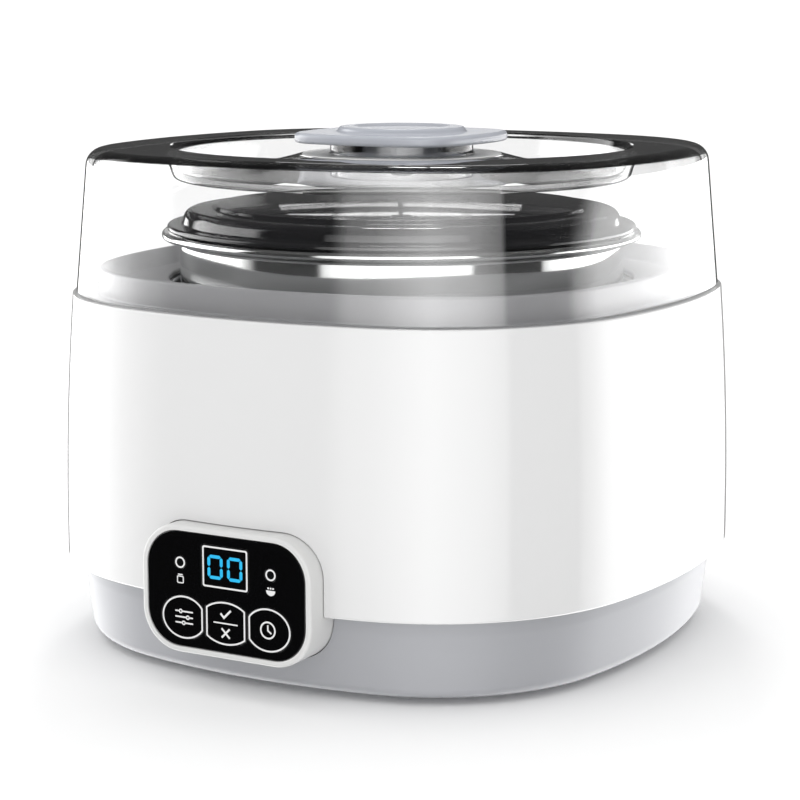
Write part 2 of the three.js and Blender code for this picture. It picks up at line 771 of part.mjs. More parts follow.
const clampTop = elementBottom - fitGap;
const clampBottom = clampTop - 1.5;
const clampEnd = clampReach + 5;
const clampHoles = [-1, 1].map((side) => (
  disc(screwRadius + fitGap, clampBottom - 1, clampTop + 1, 10, side * clampReach, 0)));
const clampBar = combine(box(-clampEnd, clampEnd, -6, 6, clampBottom, clampTop), { cut: clampHoles });
place(base, 'heater_clamp', clampBar, zincSteel);
[-1, 1].forEach((side, i) => {
  const seat = clampBottom - fitGap;
  const shank = heaterTop - plateThick + 1.6;
  const screw = turned([
    [0, seat - headHeight], [headRadius, seat - headHeight], [headRadius, seat],
    [screwRadius, seat], [screwRadius, shank], [0, shank],
  ], 10);
  place(base, `clamp_screw_${i + 1}`, screw, zincSteel).position.set(side * clampReach, 0, 0);
});
quarters.forEach((angle, i) => {
  const [x, y] = spot(wellScrewReach, angle);
  const seat = wellScrewZ - fitGap;
  const screw = turned([
    [0, seat - headHeight], [4.3, seat - headHeight], [4.3, seat],
    [screwRadius, seat], [screwRadius, deckFloor - 1.4], [0, deckFloor - 1.4],
  ], 10);
  place(base, `well_screw_${i + 1}`, screw, zincSteel).position.set(x, y, 0);
});
place(base, 'temperature_sensor', disc(7, clampTop + fitGap, elementTop, 16), aluminium);
const fuseX = elementInner - 12;
const fuseBox = box(fuseX - 3, fuseX + 3, -10, 10, elementBottom, elementTop);
place(base, 'thermal_fuse', fuseBox, feltWhite);

corners.forEach((angle, i) => {
  const [fx, fy] = spot(footReach, angle);
  const foot = turned([
    [0, 0], [footRadius - 0.8, 0], [footRadius, 0.7], [footRadius, footHeight],
    [3, footHeight], [3, footHeight + 4.4], [0, footHeight + 4.4],
  ], 14);
  place(base, `foot_${i + 1}`, foot, rubber).position.set(fx, fy, 0);

  const [sx, sy] = spot(postReach, angle);
  const seat = panBottom + bossHeight - 2.4 - fitGap;
  const screw = turned([
    [0, seat - headHeight], [headRadius, seat - headHeight], [headRadius, seat],
    [screwRadius, seat], [screwRadius, postBottom + 7], [0, postBottom + 7],
  ], 10);
  place(base, `base_screw_${i + 1}`, screw, zincSteel).position.set(sx, sy, 0);
});

// ---------------------------------------------------------------- assembly: inlet and power board
const inletBack = panHalf - 0.6;

function inletHousing() {
  const front = inletBack - inletDepth;
  const body = box(-inletHalfWidth, inletHalfWidth, front, inletBack,
    inletZ - inletHalfHeight, inletZ + inletHalfHeight);
  const outline = roundedRect(socketHalfWidth, socketRadius, socketRadius - 0.01, 0, inletZ, 5);
  const socket = frontPrism(outline, inletBack - socketDepth, inletBack + 1);
  const pinHoles = [-1, 1].map((side) => frontPrism(
    circle(pinRadius + fitGap, (side * pinPitch) / 2, inletZ, 10), front - 1, inletBack));
  return combine(body, { cut: [socket, ...pinHoles] });
}

place(base, 'inlet_housing', inletHousing(), blackPlastic);
for (const [name, side] of [['inlet_pin_left', -1], ['inlet_pin_right', 1]]) {
  const pin = new THREE.CylinderGeometry(pinRadius, pinRadius, inletDepth + 2, 10);
  const mesh = place(base, name, pin, brass);
  mesh.position.set((side * pinPitch) / 2, inletBack - 3 - (inletDepth + 2) / 2, inletZ);
}

const boardZ = panBottom + 9;
const boardTop = boardZ + 1.6;
const boardY = 46;
const boardHalfX = 40;
const boardHalfY = 26;
const board = combine(
  box(-boardHalfX, boardHalfX, boardY - boardHalfY, boardY + boardHalfY, boardZ, boardTop),
  { cut: [-1, 1].map((side) => disc(1.8, boardZ - 1, boardTop + 1, 10, side * 35, boardY)) },
);
place(base, 'power_board', board, boardGreen);
[-1, 1].forEach((side, i) => {
  const top = boardZ - fitGap;
  const post = disc(3.6, panBottom + panWall + fitGap, top, 12);
  const stud = disc(screwRadius, top - 1, boardTop + 2, 10);
  place(base, `board_post_${i + 1}`, combine(post, { add: [stud] }), blackPlastic)
    .position.set(side * 35, boardY, 0);
});
const onBoard = boardTop + fitGap;
place(base, 'transformer', box(-26, -2, boardY - 12, boardY + 12, onBoard, onBoard + 19), copperYellow);
place(base, 'relay', box(8, 27, boardY - 18, boardY - 3, onBoard, onBoard + 15), blackPlastic);
place(base, 'capacitor', disc(5, onBoard, onBoard + 18, 16, 16, boardY + 10), blackPlastic);

// ---------------------------------------------------------------- assembly: control panel
place(base, 'panel_housing', panelHousing(), glossWhite);
place(base, 'panel_lens', panelLens(), blackGloss);
const display = frontPrism(displayOutline(0), lensFront, boardFront - fitGap);
place(base, 'display_module', display, displayBlack);
for (const [name, x] of [['lamp_left', -lampX], ['lamp_right', lampX]]) {
  const pipe = frontPrism(circle(lampRadius, x, displayZ), lensFront, boardFront - fitGap);
  place(base, name, pipe, lampLens);
}
const controlOutline = roundedRect(
  panelHalfWidth - bezel - 0.6, panelHalfHeight - bezel - 0.6, panelRadius - bezel - 0.6, 0, panelZ, 4);
place(base, 'control_board', frontPrism(controlOutline, boardFront, boardBack), boardGreen);
place(base, 'control_chip',
  box(-7, 7, boardBack + fitGap, boardBack + fitGap + 1.6, panelZ - 5, panelZ + 5), blackPlastic);

const tabFront = webBack + fitGap;
const keyBack = tabFront + 1.4;
const stemFront = keyBack + keyTravel + 0.2;
Object.entries(keyShapes).forEach(([name, shape], i) => {
  const x = keyCentres[name];
  const reach = keyHalfHeight + slideGap + keyTab;
  const cap = frontPrism(shape(0), keyFront, tabFront + 0.5);
  const tab = box(x - 2.5, x + 2.5, tabFront, tabFront + 1, keyZ - reach, keyZ + reach);
  const plunger = frontPrism(circle(2, x, keyZ), tabFront, keyBack);
  place(yogurtMaker, name, combine(cap, { add: [tab, plunger] }), blackGloss);

  const switchFront = boardFront - fitGap - 3;
  const housing = box(x - 3, x + 3, switchFront, boardFront - fitGap, keyZ - 3, keyZ + 3);
  const button = frontPrism(circle(1.7, x, keyZ), stemFront, switchFront + 0.5);
  place(base, `tact_switch_${i + 1}`, combine(housing, { add: [button] }), blackPlastic);
});

// ---------------------------------------------------------------- assembly: bowl, lid and cover
const bowl = new THREE.Group();
yogurtMaker.add(bowl);
place(bowl, 'inner_bowl', innerBowl(), steel);

const lid = new THREE.Group();
yogurtMaker.add(lid);
place(lid, 'inner_lid', innerLid(), smokedPlastic);
place(lid, 'lid_gasket', lidGasket(), silicone);

const cover = new THREE.Group();
yogurtMaker.add(cover);
place(cover, 'outer_cover', outerCover(), clearPlastic);
place(cover, 'cover_knob', coverKnob(), knobGrey);
place(cover, 'knob_collar', knobCollar(), knobGrey);
place(cover, 'knob_screw', knobScrew(), zincSteel);
place(cover, 'knob_washer', knobWasher(), zincSteel);

// The footprint's centre sits on the origin, so the panel's depth moves the body back by half of it.
yogurtMaker.position.y = panelProud / 2;

export default yogurtMaker;
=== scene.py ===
"""Looks of an electric yogurt maker: white heating base, steel bowl, smoked inner lid, clear outer cover.

Lengths are millimetres from the bowl's axis and the floor, and are turned to metres as each mesh is made.
"""
import functools
import json
import math

import bmesh
import bpy
import numpy as np
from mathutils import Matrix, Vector


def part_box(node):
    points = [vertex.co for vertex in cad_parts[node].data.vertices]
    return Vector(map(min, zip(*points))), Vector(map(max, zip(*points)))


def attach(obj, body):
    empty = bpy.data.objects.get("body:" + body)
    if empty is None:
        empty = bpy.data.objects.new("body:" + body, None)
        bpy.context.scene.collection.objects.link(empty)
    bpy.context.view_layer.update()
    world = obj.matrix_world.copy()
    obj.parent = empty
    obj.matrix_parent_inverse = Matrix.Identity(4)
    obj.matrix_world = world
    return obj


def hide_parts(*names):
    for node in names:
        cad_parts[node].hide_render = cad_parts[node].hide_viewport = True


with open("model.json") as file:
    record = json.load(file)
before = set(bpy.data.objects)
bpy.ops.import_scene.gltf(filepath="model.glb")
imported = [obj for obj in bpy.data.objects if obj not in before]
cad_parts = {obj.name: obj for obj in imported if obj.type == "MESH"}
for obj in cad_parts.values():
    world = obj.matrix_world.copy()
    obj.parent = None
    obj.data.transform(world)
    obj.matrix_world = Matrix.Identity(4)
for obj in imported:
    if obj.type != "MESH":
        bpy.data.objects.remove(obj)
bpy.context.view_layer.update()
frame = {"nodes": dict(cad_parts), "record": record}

MM = 0.001
bowl_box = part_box("inner_bowl")
AXIS_Y = (bowl_box[0].y + bowl_box[1].y) / 2 / MM


def span(node):
    """A CAD node's lowest and highest corner, in mm from the bowl's axis and the floor."""
    low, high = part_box(node)
    axis = np.array((0, AXIS_Y, 0))
    return np.array(low) / MM - axis, np.array(high) / MM - axis


# ---------------------------------------------------------------- sizes taken from the frame
shell_low, shell_high = span("outer_shell")
pan_low, pan_high = span("base_pan")
deck_low, deck_high = span("top_deck")
well_low, well_high = span("heating_well")
bowl_low, bowl_high = span("inner_bowl")
lid_low, lid_high = span("inner_lid")
gasket_low, gasket_high = span("lid_gasket")
cover_low, cover_high = span("outer_cover")
knob_low, knob_high = span("cover_knob")
collar_low, collar_high = span("knob_collar")
panel_low, panel_high = span("panel_housing")
lens_low, lens_high = span("panel_lens")
display_low, display_high = span("display_module")
inlet_low, inlet_high = span("inlet_housing")

BODY_HALF = shell_high[0]
BODY_TOP = shell_high[2]
SIDE_RADIUS = 216.6  # bowed side of the body's plan
CORNER_RADIUS = 76.6  # corner of the body's plan
GAP = 0.3  # air between neighbouring pieces
KEY_GAP = 0.25
PANEL_Z = (panel_low[2] + panel_high[2]) / 2

# ---------------------------------------------------------------- outlines
SIDE_STEPS = 16
CORNER_STEPS = 24


def bowed_square(half, side_radius, corner_radius):
    """Points anticlockwise round a square with bowed sides and round corners."""
    centre = half - side_radius
    reach = side_radius - corner_radius
    corner = (centre + math.sqrt(2 * reach * reach - centre * centre)) / 2
    join = math.atan2(corner, corner - centre)
    side_turns = join * (2 * np.arange(SIDE_STEPS) / SIDE_STEPS - 1)
    corner_turns = join + (math.pi / 2 - 2 * join) * np.arange(CORNER_STEPS) / CORNER_STEPS
    x = np.concatenate((
        centre + side_radius * np.cos(side_turns), corner + corner_radius * np.cos(corner_turns)))
    y = np.concatenate((
        side_radius * np.sin(side_turns), corner + corner_radius * np.sin(corner_turns)))
    quarters = [np.stack((x, y), axis=1)]
    quarter_turn = np.array(((0, -1), (1, 0)))
    for _ in range(3):
        quarters.append(quarters[-1] @ quarter_turn.T)
    return np.concatenate(quarters)


BODY_PLAN = bowed_square(BODY_HALF, SIDE_RADIUS, CORNER_RADIUS)
AROUND = BODY_PLAN / np.linalg.norm(BODY_PLAN, axis=1)[:, None]


def at_height(plan, z):
    return np.column_stack((plan, np.full(len(plan), z)))


def square(half, z):
    """The body's outline moved inwards to this half-width, at this height."""
    inset = BODY_HALF - half
    return at_height(bowed_square(half, SIDE_RADIUS - inset, CORNER_RADIUS - inset), z)


def circle(radius, z):
    return at_height(AROUND * radius, z)


def round_rectangle(half_width, half_height, radius, centre=(0, 0), steps=10):
    """Points of an upright rectangle with round corners, in x and z."""
    points = []
    for quarter, (sx, sz) in enumerate(((1, 1), (-1, 1), (-1, -1), (1, -1))):
        for i in range(steps + 1):
            angle = (quarter + i / steps) * math.pi / 2
            points.append((
                centre[0] + sx * (half_width - radius) + radius * math.cos(angle),
                centre[1] + sz * (half_height - radius) + radius * math.sin(angle),
            ))
    return np.array(points)


def ring_points(radius, centre=(0, 0), steps=40):
    turns = np.arange(steps) / steps * 2 * math.pi
    return np.stack((centre[0] + radius * np.cos(turns), centre[1] + radius * np.sin(turns)), axis=1)


def bar(start, end, width, steps=6):
    """A straight stroke with round ends, in x and z."""
    start, end = np.array(start, float), np.array(end, float)
    along = (end - start) / np.linalg.norm(end - start)
    lean = math.atan2(along[1], along[0])
    half_turn = np.linspace(-math.pi / 2, math.pi / 2, steps + 1)

    def round_end(centre, turn):
        return centre + width / 2 * np.stack((np.cos(half_turn + turn), np.sin(half_turn + turn)), axis=1)

    return np.concatenate((round_end(end, lean), round_end(start, lean + math.pi)))


# ---------------------------------------------------------------- mesh tools
def soften(rows, fillets, closed=False, steps=6):
    """Rounds a profile's corners. Each row is a ring of points, and each fillet is that corner's radius."""
    result = []
    last = len(rows) - 1
    for i, (row, fillet) in enumerate(zip(rows, fillets)):
        if not fillet or (not closed and i in (0, last)):
            result.append(row)
            continue
        back, ahead = rows[i - 1] - row, rows[(i + 1) % len(rows)] - row
        back_length = np.linalg.norm(back, axis=1, keepdims=True)
        ahead_length = np.linalg.norm(ahead, axis=1, keepdims=True)
        cosine = np.sum(back * ahead, axis=1, keepdims=True) / (back_length * ahead_length)
        half_turn = (math.pi - np.arccos(np.clip(cosine, -1, 1))) / 2
        reach = np.minimum(fillet * np.tan(half_turn), 0.49 * np.minimum(back_length, ahead_length))
        start, end = row + back / back_length * reach, row + ahead / ahead_length * reach
        weight = np.cos(half_turn)
        pieces = max(2, math.ceil(steps * half_turn.mean() / (math.pi / 4)))
        for t in np.linspace(0, 1, pieces + 1):
            first, middle, final = (1 - t) ** 2, 2 * t * (1 - t) * weight, t * t
            result.append((first * start + middle * row + final * end) / (first + middle + final))
    return result


def profile(*corners, closed=False, steps=6):
    """Rows of a loft from (outline, size, height, fillet) corners."""
    rows = [outline(size, z) for outline, size, z, _ in corners]
    return soften(rows, [fillet for *_, fillet in corners], closed, steps)


def mesh_object(name, vertices, faces):
    mesh = bpy.data.meshes.new(name)
    mesh.from_pydata(((np.asarray(vertices) + (0, AXIS_Y, 0)) * MM).tolist(), [], faces)
    made = bpy.data.objects.new(name, mesh)
    bpy.context.scene.collection.objects.link(made)
    return made


def skin(name, rows, closed=False):
    """A mesh through rows of equal counts. closed joins the last row to the first.

    A row whose points all lie at the axis becomes a pole.
    """
    count = len(rows[0])
    order = np.arange(count)
    following = (order + 1) % count
    faces = []
    for i in range(len(rows) if closed else len(rows) - 1):
        low, high = i * count, (i + 1) % len(rows) * count
        faces += np.stack((low + order, low + following, high + following, high + order), axis=1).tolist()
    return weld(mesh_object(name, np.concatenate(rows), faces))


def weld(made, distance=0.002):
    """Joins points that lie together, faces outwards."""
    work = bmesh.new()
    work.from_mesh(made.data)
    bmesh.ops.remove_doubles(work, verts=work.verts, dist=distance * MM)
    bmesh.ops.recalc_face_normals(work, faces=work.faces)
    work.to_mesh(made.data)
    work.free()
    return made


def turned(name, corners, centre=(0, 0), steps=48, closed=False, soft=4):
    """A piece turned about an upright line, from (radius, height, fillet) corners."""
    turns = np.arange(steps) / steps * 2 * math.pi
    unit = np.stack((np.cos(turns), np.sin(turns)), axis=1)
    rows = [at_height(unit * radius + centre, z) for radius, z, _ in corners]
    return skin(name, soften(rows, [fillet for *_, fillet in corners], closed, soft), closed)


def plate(name, outlines, front, back, edge=0.0):
    """A flat piece cut to outlines in x and z, from y = front to y = back, with its edges rounded.

    An outline inside another is a hole.
    """
    curve = bpy.data.curves.new(name, "CURVE")
    curve.dimensions = "2D"
    curve.fill_mode = "BOTH"
    for outline in outlines:
        spline = curve.splines.new("POLY")
        spline.points.add(len(outline) - 1)
        depth_and_weight = np.tile((0, 1), (len(outline), 1))
        spline.points.foreach_set("co", np.column_stack((outline, depth_and_weight)).astype(float).ravel())
        spline.use_cyclic_u = True
    curve.extrude = (back - front) / 2 - edge
    curve.bevel_depth = edge
    curve.bevel_resolution = 2
    curve.offset = -edge
    drawn = bpy.data.objects.new(name, curve)
    bpy.context.scene.collection.objects.link(drawn)
    bpy.context.view_layer.update()
    flat = bpy.data.meshes.new_from_object(drawn.evaluated_get(bpy.context.evaluated_depsgraph_get()))
    points = np.empty(len(flat.vertices) * 3)
    flat.vertices.foreach_get("co", points)
    x, up, out = points.reshape(-1, 3).T
    faces = [list(polygon.vertices) for polygon in flat.polygons]
    bpy.data.objects.remove(drawn)
    bpy.data.curves.remove(curve)
    bpy.data.meshes.remove(flat)
    return weld(mesh_object(name, np.stack((x, (front + back) / 2 - out, up), axis=1), faces))


def joined(name, *objects):
    """The objects as one mesh under a new name."""
    work = bmesh.new()
    for made in objects:
        work.from_mesh(made.data)
        bpy.data.objects.remove(made)
    mesh = bpy.data.meshes.new(name)
    work.to_mesh(mesh)
    work.free()
    whole = bpy.data.objects.new(name, mesh)
    bpy.context.scene.collection.objects.link(whole)
    return whole


def carve(made, *cutters, operation="DIFFERENCE"):
    """Takes the cutters out of a mesh and keeps the result."""
    for cutter in cutters:
        cut = made.modifiers.new("cut", "BOOLEAN")
        cut.operation = operation
        cut.solver = "EXACT"
        cut.object = cutter
    bpy.context.view_layer.update()
    mesh = bpy.data.meshes.new_from_object(made.evaluated_get(bpy.context.evaluated_depsgraph_get()))
    made.modifiers.clear()
    made.data = mesh
    for cutter in cutters:
        bpy.data.objects.remove(cutter)
    return made


def block(name, low, high, edge=0.0):
    """A box between two corners, its edges rounded."""
    (x0, y0, z0), (x1, y1, z1) = low, high
    middle = ((x0 + x1) / 2, (z0 + z1) / 2)
    outline = round_rectangle((x1 - x0) / 2, (z1 - z0) / 2, max(edge, 0.01), middle, 4)
    return plate(name, [outline], y0, y1, edge * 0.7)


def settle(made, body, surface, slot, *nodes, sharp=32):
    """Gives a piece its body, its material and the CAD nodes that it stands for."""
    made.data.materials.clear()
    made.data.materials.append(surface)
    made.data.shade_smooth()
    made.data.set_sharp_from_angle(angle=math.radians(sharp))
    weighted = made.modifiers.new("flat faces stay flat", "WEIGHTED_NORMAL")
    weighted.keep_sharp = True
    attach(made, body)
    if nodes:
        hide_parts(*nodes)
    return made


# ---------------------------------------------------------------- material tools
def linear(code):
    """An sRGB hex colour as linear RGBA."""
    channels = [int(code[i:i + 2], 16) / 255 for i in (1, 3, 5)]
    return (*[c / 12.92 if c <= 0.04045 else ((c + 0.055) / 1.055) ** 2.4 for c in channels], 1)


def add(tree, kind, sockets=None, output=None, stops=(), **settings):
    """Adds a node and returns one output.

    A socket, by name or number, takes a value or another node's output. stops are a colour ramp's, as
    (place, level), in rising order.
    """
    node = tree.nodes.new(kind)
    for name, value in settings.items():
        setattr(node, name, value)
    if stops:
        ramp = node.color_ramp.elements
        ramp[0].position, ramp[1].position = stops[0][0], stops[-1][0]
        ramp[0].color, ramp[1].color = [(level, level, level, 1) for level in (stops[0][1], stops[-1][1])]
        for place, level in stops[1:-1]:
            ramp.new(place).color = (level, level, level, 1)
    for name, value in (sockets or {}).items():
        socket = node.inputs[name] if isinstance(name, int) else next(
            s for s in node.inputs if s.name == name and s.enabled)
        if isinstance(value, bpy.types.NodeSocket):
            tree.links.new(value, socket)
        else:
            socket.default_value = value
    shown = [s for s in node.outputs if s.enabled and output in (None, s.name)]
    return shown[0] if shown else None


def blank(name):
    """A new material with an empty node tree."""
    surface = bpy.data.materials.new(name)
    surface.use_nodes = True
    surface.node_tree.nodes.clear()
    return surface, surface.node_tree


FLOW_MM = 35  # how far apart the slow drifts of a moulded surface's tint lie
SPUN_BAND_MM = 6  # width of the duller and brighter bands on turned metal
CLEAR_FLOW_MM = 45  # length of the waves in a clear moulded wall
GLOW_MM = 1.6  # size of the brighter cores in a lit segment
UNEVEN_GLOSS = 0.1  # share by which roughness drifts either way


def shaded(tree, colour, roughness, height, depth_mm, mottle, cloud, sockets):
    """A Principled shader whose colour and roughness follow cloud a little, with height as its relief."""
    base = linear(colour)
    deep = (*[c * (1 - mottle) for c in base[:3]], 1)
    tint = add(tree, "ShaderNodeMix", {"Factor": cloud, "A": deep, "B": base}, data_type="RGBA")
    uneven = add(tree, "ShaderNodeMapRange", {
        "Value": cloud, "To Min": roughness * (1 - UNEVEN_GLOSS), "To Max": roughness * (1 + UNEVEN_GLOSS)})
    bump = add(tree, "ShaderNodeBump", {"Height": height, "Distance": depth_mm * MM})
    return add(tree, "ShaderNodeBsdfPrincipled", {
        "Base Color": tint, "Roughness": uneven, "Normal": bump, **sockets})


def moulded(name, colour, roughness, grain_mm, depth_mm, mottle=0.03, **sockets):
    """A moulded surface whose grain has bumps grain_mm apart and depth_mm high."""
    surface, tree = blank(name)
    place = add(tree, "ShaderNodeTexCoord", output="Object")
    cloud = add(tree, "ShaderNodeTexNoise", {
        "Vector": place, "Scale": 1 / (FLOW_MM * MM), "Detail": 2.0}, "Fac")
    grain = add(tree, "ShaderNodeTexNoise", {
        "Vector": place, "Scale": 1 / (grain_mm * MM), "Detail": 3.0}, "Fac")
    sockets = {key.replace("_", " "): value for key, value in sockets.items()}
    shader = shaded(tree, colour, roughness, grain, depth_mm, mottle, cloud, sockets)
    add(tree, "ShaderNodeOutputMaterial", {"Surface": shader})
    return surface


def spun(name, colour, roughness, line_mm, depth_mm, mottle=0.12, **sockets):
    """Metal with fine lines that run round the bowl's axis, line_mm apart and depth_mm deep."""
    surface, tree = blank(name)
    place = add(tree, "ShaderNodeTexCoord", output="Object")
    from_axis = add(tree, "ShaderNodeVectorMath", {0: place, 1: (0, -AXIS_Y * MM, 0)}, operation="ADD")
    flat = add(tree, "ShaderNodeVectorMath", {0: from_axis, 1: (1, 1, 0)}, operation="MULTIPLY")
    radius = add(tree, "ShaderNodeVectorMath", {0: flat}, "Value", operation="LENGTH")
    height = add(tree, "ShaderNodeSeparateXYZ", {"Vector": from_axis}, "Z")
    across = add(tree, "ShaderNodeCombineXYZ", {"X": radius, "Y": height})
    lines = add(tree, "ShaderNodeTexNoise", {
        "Vector": across, "Scale": 1 / (line_mm * MM), "Detail": 4.0}, "Fac")
    bands = add(tree, "ShaderNodeTexNoise", {
        "Vector": across, "Scale": 1 / (SPUN_BAND_MM * MM), "Detail": 2.0}, "Fac")
    sockets = {"Metallic": 1.0, **{key.replace("_", " "): value for key, value in sockets.items()}}
    shader = shaded(tree, colour, roughness, lines, depth_mm, mottle, bands, sockets)
    add(tree, "ShaderNodeOutputMaterial", {"Surface": shader})
    return surface


PAINTED_RIM_SHADE_BLEND = 1.5  # height in mm over which the painted shade on the rim comes in
PAINTED_RIM_SHADE = 0.7  # how much painted shade is added to the rim's slant
FACE_ON_GLOSS = 0.045  # share that clear plastic mirrors face on
GRAZING_GLOSS = 0.95  # what is added to that at a grazing angle


def clear_moulded(name, painted_shade_z):
    """Clear plastic with sharp reflections, no colour face on, and dark where it is seen along its wall.

    Above the given height the top rim gets painted shade, so that it goes dark sooner.
    """
    surface, tree = blank(name)
    facing = add(tree, "ShaderNodeLayerWeight", {"Blend": 0.5}, "Facing")
    place = add(tree, "ShaderNodeTexCoord", output="Object")
    height = add(tree, "ShaderNodeSeparateXYZ", {"Vector": place}, "Z")
    # painted shade: a mask by height that darkens the cover's top rim
    rim = add(tree, "ShaderNodeMapRange", {
        "Value": height, "From Min": painted_shade_z * MM, "From Max": (painted_shade_z + PAINTED_RIM_SHADE_BLEND) * MM,
        "To Max": PAINTED_RIM_SHADE})
    slant_and_painted_rim = add(tree, "ShaderNodeMath", {0: facing, 1: rim}, operation="ADD")
    edge_and_painted_rim_shade = add(tree, "ShaderNodeValToRGB", {"Fac": slant_and_painted_rim}, stops=(
        (0.0, 0.995), (0.70, 0.985), (0.86, 0.88), (0.915, 0.24), (1.0, 0.10)))
    through = add(tree, "ShaderNodeBsdfTransparent", {"Color": edge_and_painted_rim_shade})
    steep = add(tree, "ShaderNodeMath", {0: facing, 1: 5.0}, operation="POWER")
    share = add(tree, "ShaderNodeMath", {
        0: steep, 1: GRAZING_GLOSS, 2: FACE_ON_GLOSS}, operation="MULTIPLY_ADD")
    wave = add(tree, "ShaderNodeTexNoise", {
        "Vector": place, "Scale": 1 / (CLEAR_FLOW_MM * MM), "Detail": 1.0}, "Fac")
    flow = add(tree, "ShaderNodeBump", {"Height": wave, "Distance": 0.05 * MM})
    gloss = add(tree, "ShaderNodeBsdfGlossy", {"Color": (1, 1, 1, 1), "Roughness": 0.015, "Normal": flow})
    shader = add(tree, "ShaderNodeMixShader", {"Fac": share, 1: through, 2: gloss})
    add(tree, "ShaderNodeOutputMaterial", {"Surface": shader})
    return surface


def lit(name, colour, strength):
    """A light-emitting segment behind dark film: even colour with a slightly brighter core."""
    surface, tree = blank(name)
    place = add(tree, "ShaderNodeTexCoord", output="Object")
    cloud = add(tree, "ShaderNodeTexNoise", {
        "Vector": place, "Scale": 1 / (GLOW_MM * MM), "Detail": 1.0}, "Fac")
    base = linear(colour)
    deep = (*[c * 0.7 for c in base[:2]], base[2], 1)
    glow = add(tree, "ShaderNodeMix", {"Factor": cloud, "A": deep, "B": base}, data_type="RGBA")
    shader = add(tree, "ShaderNodeBsdfPrincipled", {
        "Base Color": linear("#081418"), "Roughness": 0.2,
        "Emission Color": glow, "Emission Strength": strength})
    add(tree, "ShaderNodeOutputMaterial", {"Surface": shader})
    return surface


# ---------------------------------------------------------------- materials
# ABS from a polished mould: bright, with the faintest flow in its gloss.
abs_gloss_white = moulded("abs polished white", "#e0e0e0", 0.10, 3.0, 0.004, 0.01, IOR=1.53)
# ABS from a spark-eroded mould has a satin sheen. In this and the next two, the grain is drawn twice as
# coarse as the real one, so that it shows.
abs_satin_grey = moulded(
    "abs spark-eroded grey", "#a9aaae", 0.40, 0.5, 0.012, 0.03, IOR=1.53, Specular_IOR_Level=0.3)
# The same in white, a little smoother, for the panel's frame.
abs_satin_white = moulded(
    "abs spark-eroded white", "#d8d8d7", 0.30, 0.5, 0.008, 0.015, IOR=1.53, Specular_IOR_Level=0.3)
# The same finish, coloured darker grey as painted shade, so that the deck under the cover reads darker than
# the shell round it.
abs_deck_painted_shade = moulded("abs spark-eroded white with painted shade", "#9c9c9e", 0.35, 0.5, 0.008, 0.02, IOR=1.53)
# Clear SAN from a polished mould: seen by its reflections, its dark edges and its top rim, which is darkened
# with painted shade.
PAINTED_RIM_SHADE_DEPTH = 3  # how far below the cover's top the painted shade on its rim starts
san_clear = clear_moulded("san polished clear", cover_high[2] - PAINTED_RIM_SHADE_DEPTH)
# SAN with smoke dye: nearly black in the thick, mirror-like on top.
san_smoked = moulded("san polished smoked", "#1b1b1d", 0.04, 20.0, 0.02, 0.1, IOR=1.57)
# Pale grey ABS with a fine satin skin: soft highlights along the knob's edges.
abs_knob_grey = moulded("abs satin pale grey", "#b7bac2", 0.24, 0.6, 0.006, 0.02, IOR=1.53)
# Deep-drawn stainless steel, polished on wheels: mirror-like with fine lines that run round.
steel_drawn = spun("stainless steel drawn and polished", "#e0e1e0", 0.08, 0.5, 0.001)
# Spun aluminium, left as it comes off the lathe: duller than the steel, with plainer lines.
aluminium_spun = spun("aluminium spun", "#bfc1c3", 0.32, 0.6, 0.006)
# Acrylic sheet, printed black on its back: a deep black under a clear gloss.
acrylic_black = moulded("acrylic back-printed black", "#030304", 0.05, 15.0, 0.004, 0.2, IOR=1.49)
# Screen ink: flat white without shine.
ink_white = moulded("screen ink white", "#e6e6e6", 0.45, 0.4, 0.002, 0.02)
# A lit segment behind film: blue-green and bright by itself.
led_cyan = lit("led segment cyan", "#38cdf4", 1.0)
# Moulded rubber: dark and dull, with a rough skin.
rubber_grey = moulded("rubber moulded grey", "#3a3a3c", 0.8, 0.6, 0.03, 0.1)
# Moulded silicone: milky with a soft sheen.
silicone_white = moulded("silicone moulded white", "#e0e0de", 0.55, 0.8, 0.01, 0.04)
# Turned brass: warm, with fine tool lines.
brass_turned = spun("brass turned", "#c9b27a", 0.3, 0.2, 0.004, 0.08)
# Zinc-plated steel: grey and slightly patchy.
steel_zinc = spun("steel zinc plated", "#a9abad", 0.35, 0.3, 0.006, 0.15)
# Glass-fibre board under solder mask: green, with the weave faintly raised.
board_green = moulded("fibreglass board solder mask", "#2c5a3c", 0.4, 1.2, 0.02, 0.25)
# Black ABS from a spark-eroded mould: a dull black.
abs_black = moulded("abs spark-eroded black", "#1c1c1e", 0.45, 0.5, 0.012, 0.1)
# Needled glass felt: matt and fuzzy.
felt_white = moulded("glass felt needled", "#d8d4c8", 0.95, 0.9, 0.12, 0.12)
# Polycarbonate lens over an unlit lamp: dark with a plain gloss.
lamp_dark = moulded("polycarbonate lamp lens", "#0b0d0e", 0.15, 2.0, 0.004, 0.1)
# Polyester tape over a copper coil: yellow, with ridges from the turns beneath.
tape_yellow = moulded("polyester tape on copper", "#c79a3a", 0.4, 1.5, 0.03, 0.12)

BY_SLOT = {
    "shell_white": abs_gloss_white, "base_grey": abs_satin_grey, "deck_white": abs_deck_painted_shade,
    "cover_clear": san_clear, "lid_smoked": san_smoked, "knob_grey": abs_knob_grey, "bowl_steel": steel_drawn,
    "well_aluminium": aluminium_spun, "panel_black": acrylic_black, "foot_rubber": rubber_grey,
    "gasket_silicone": silicone_white, "pin_brass": brass_turned, "screw_zinc": steel_zinc,
    "board_green": board_green, "black_plastic": abs_black, "insulation_felt": felt_white,
    "lamp_lens": lamp_dark, "display_black": acrylic_black, "coil_copper": tape_yellow,
}

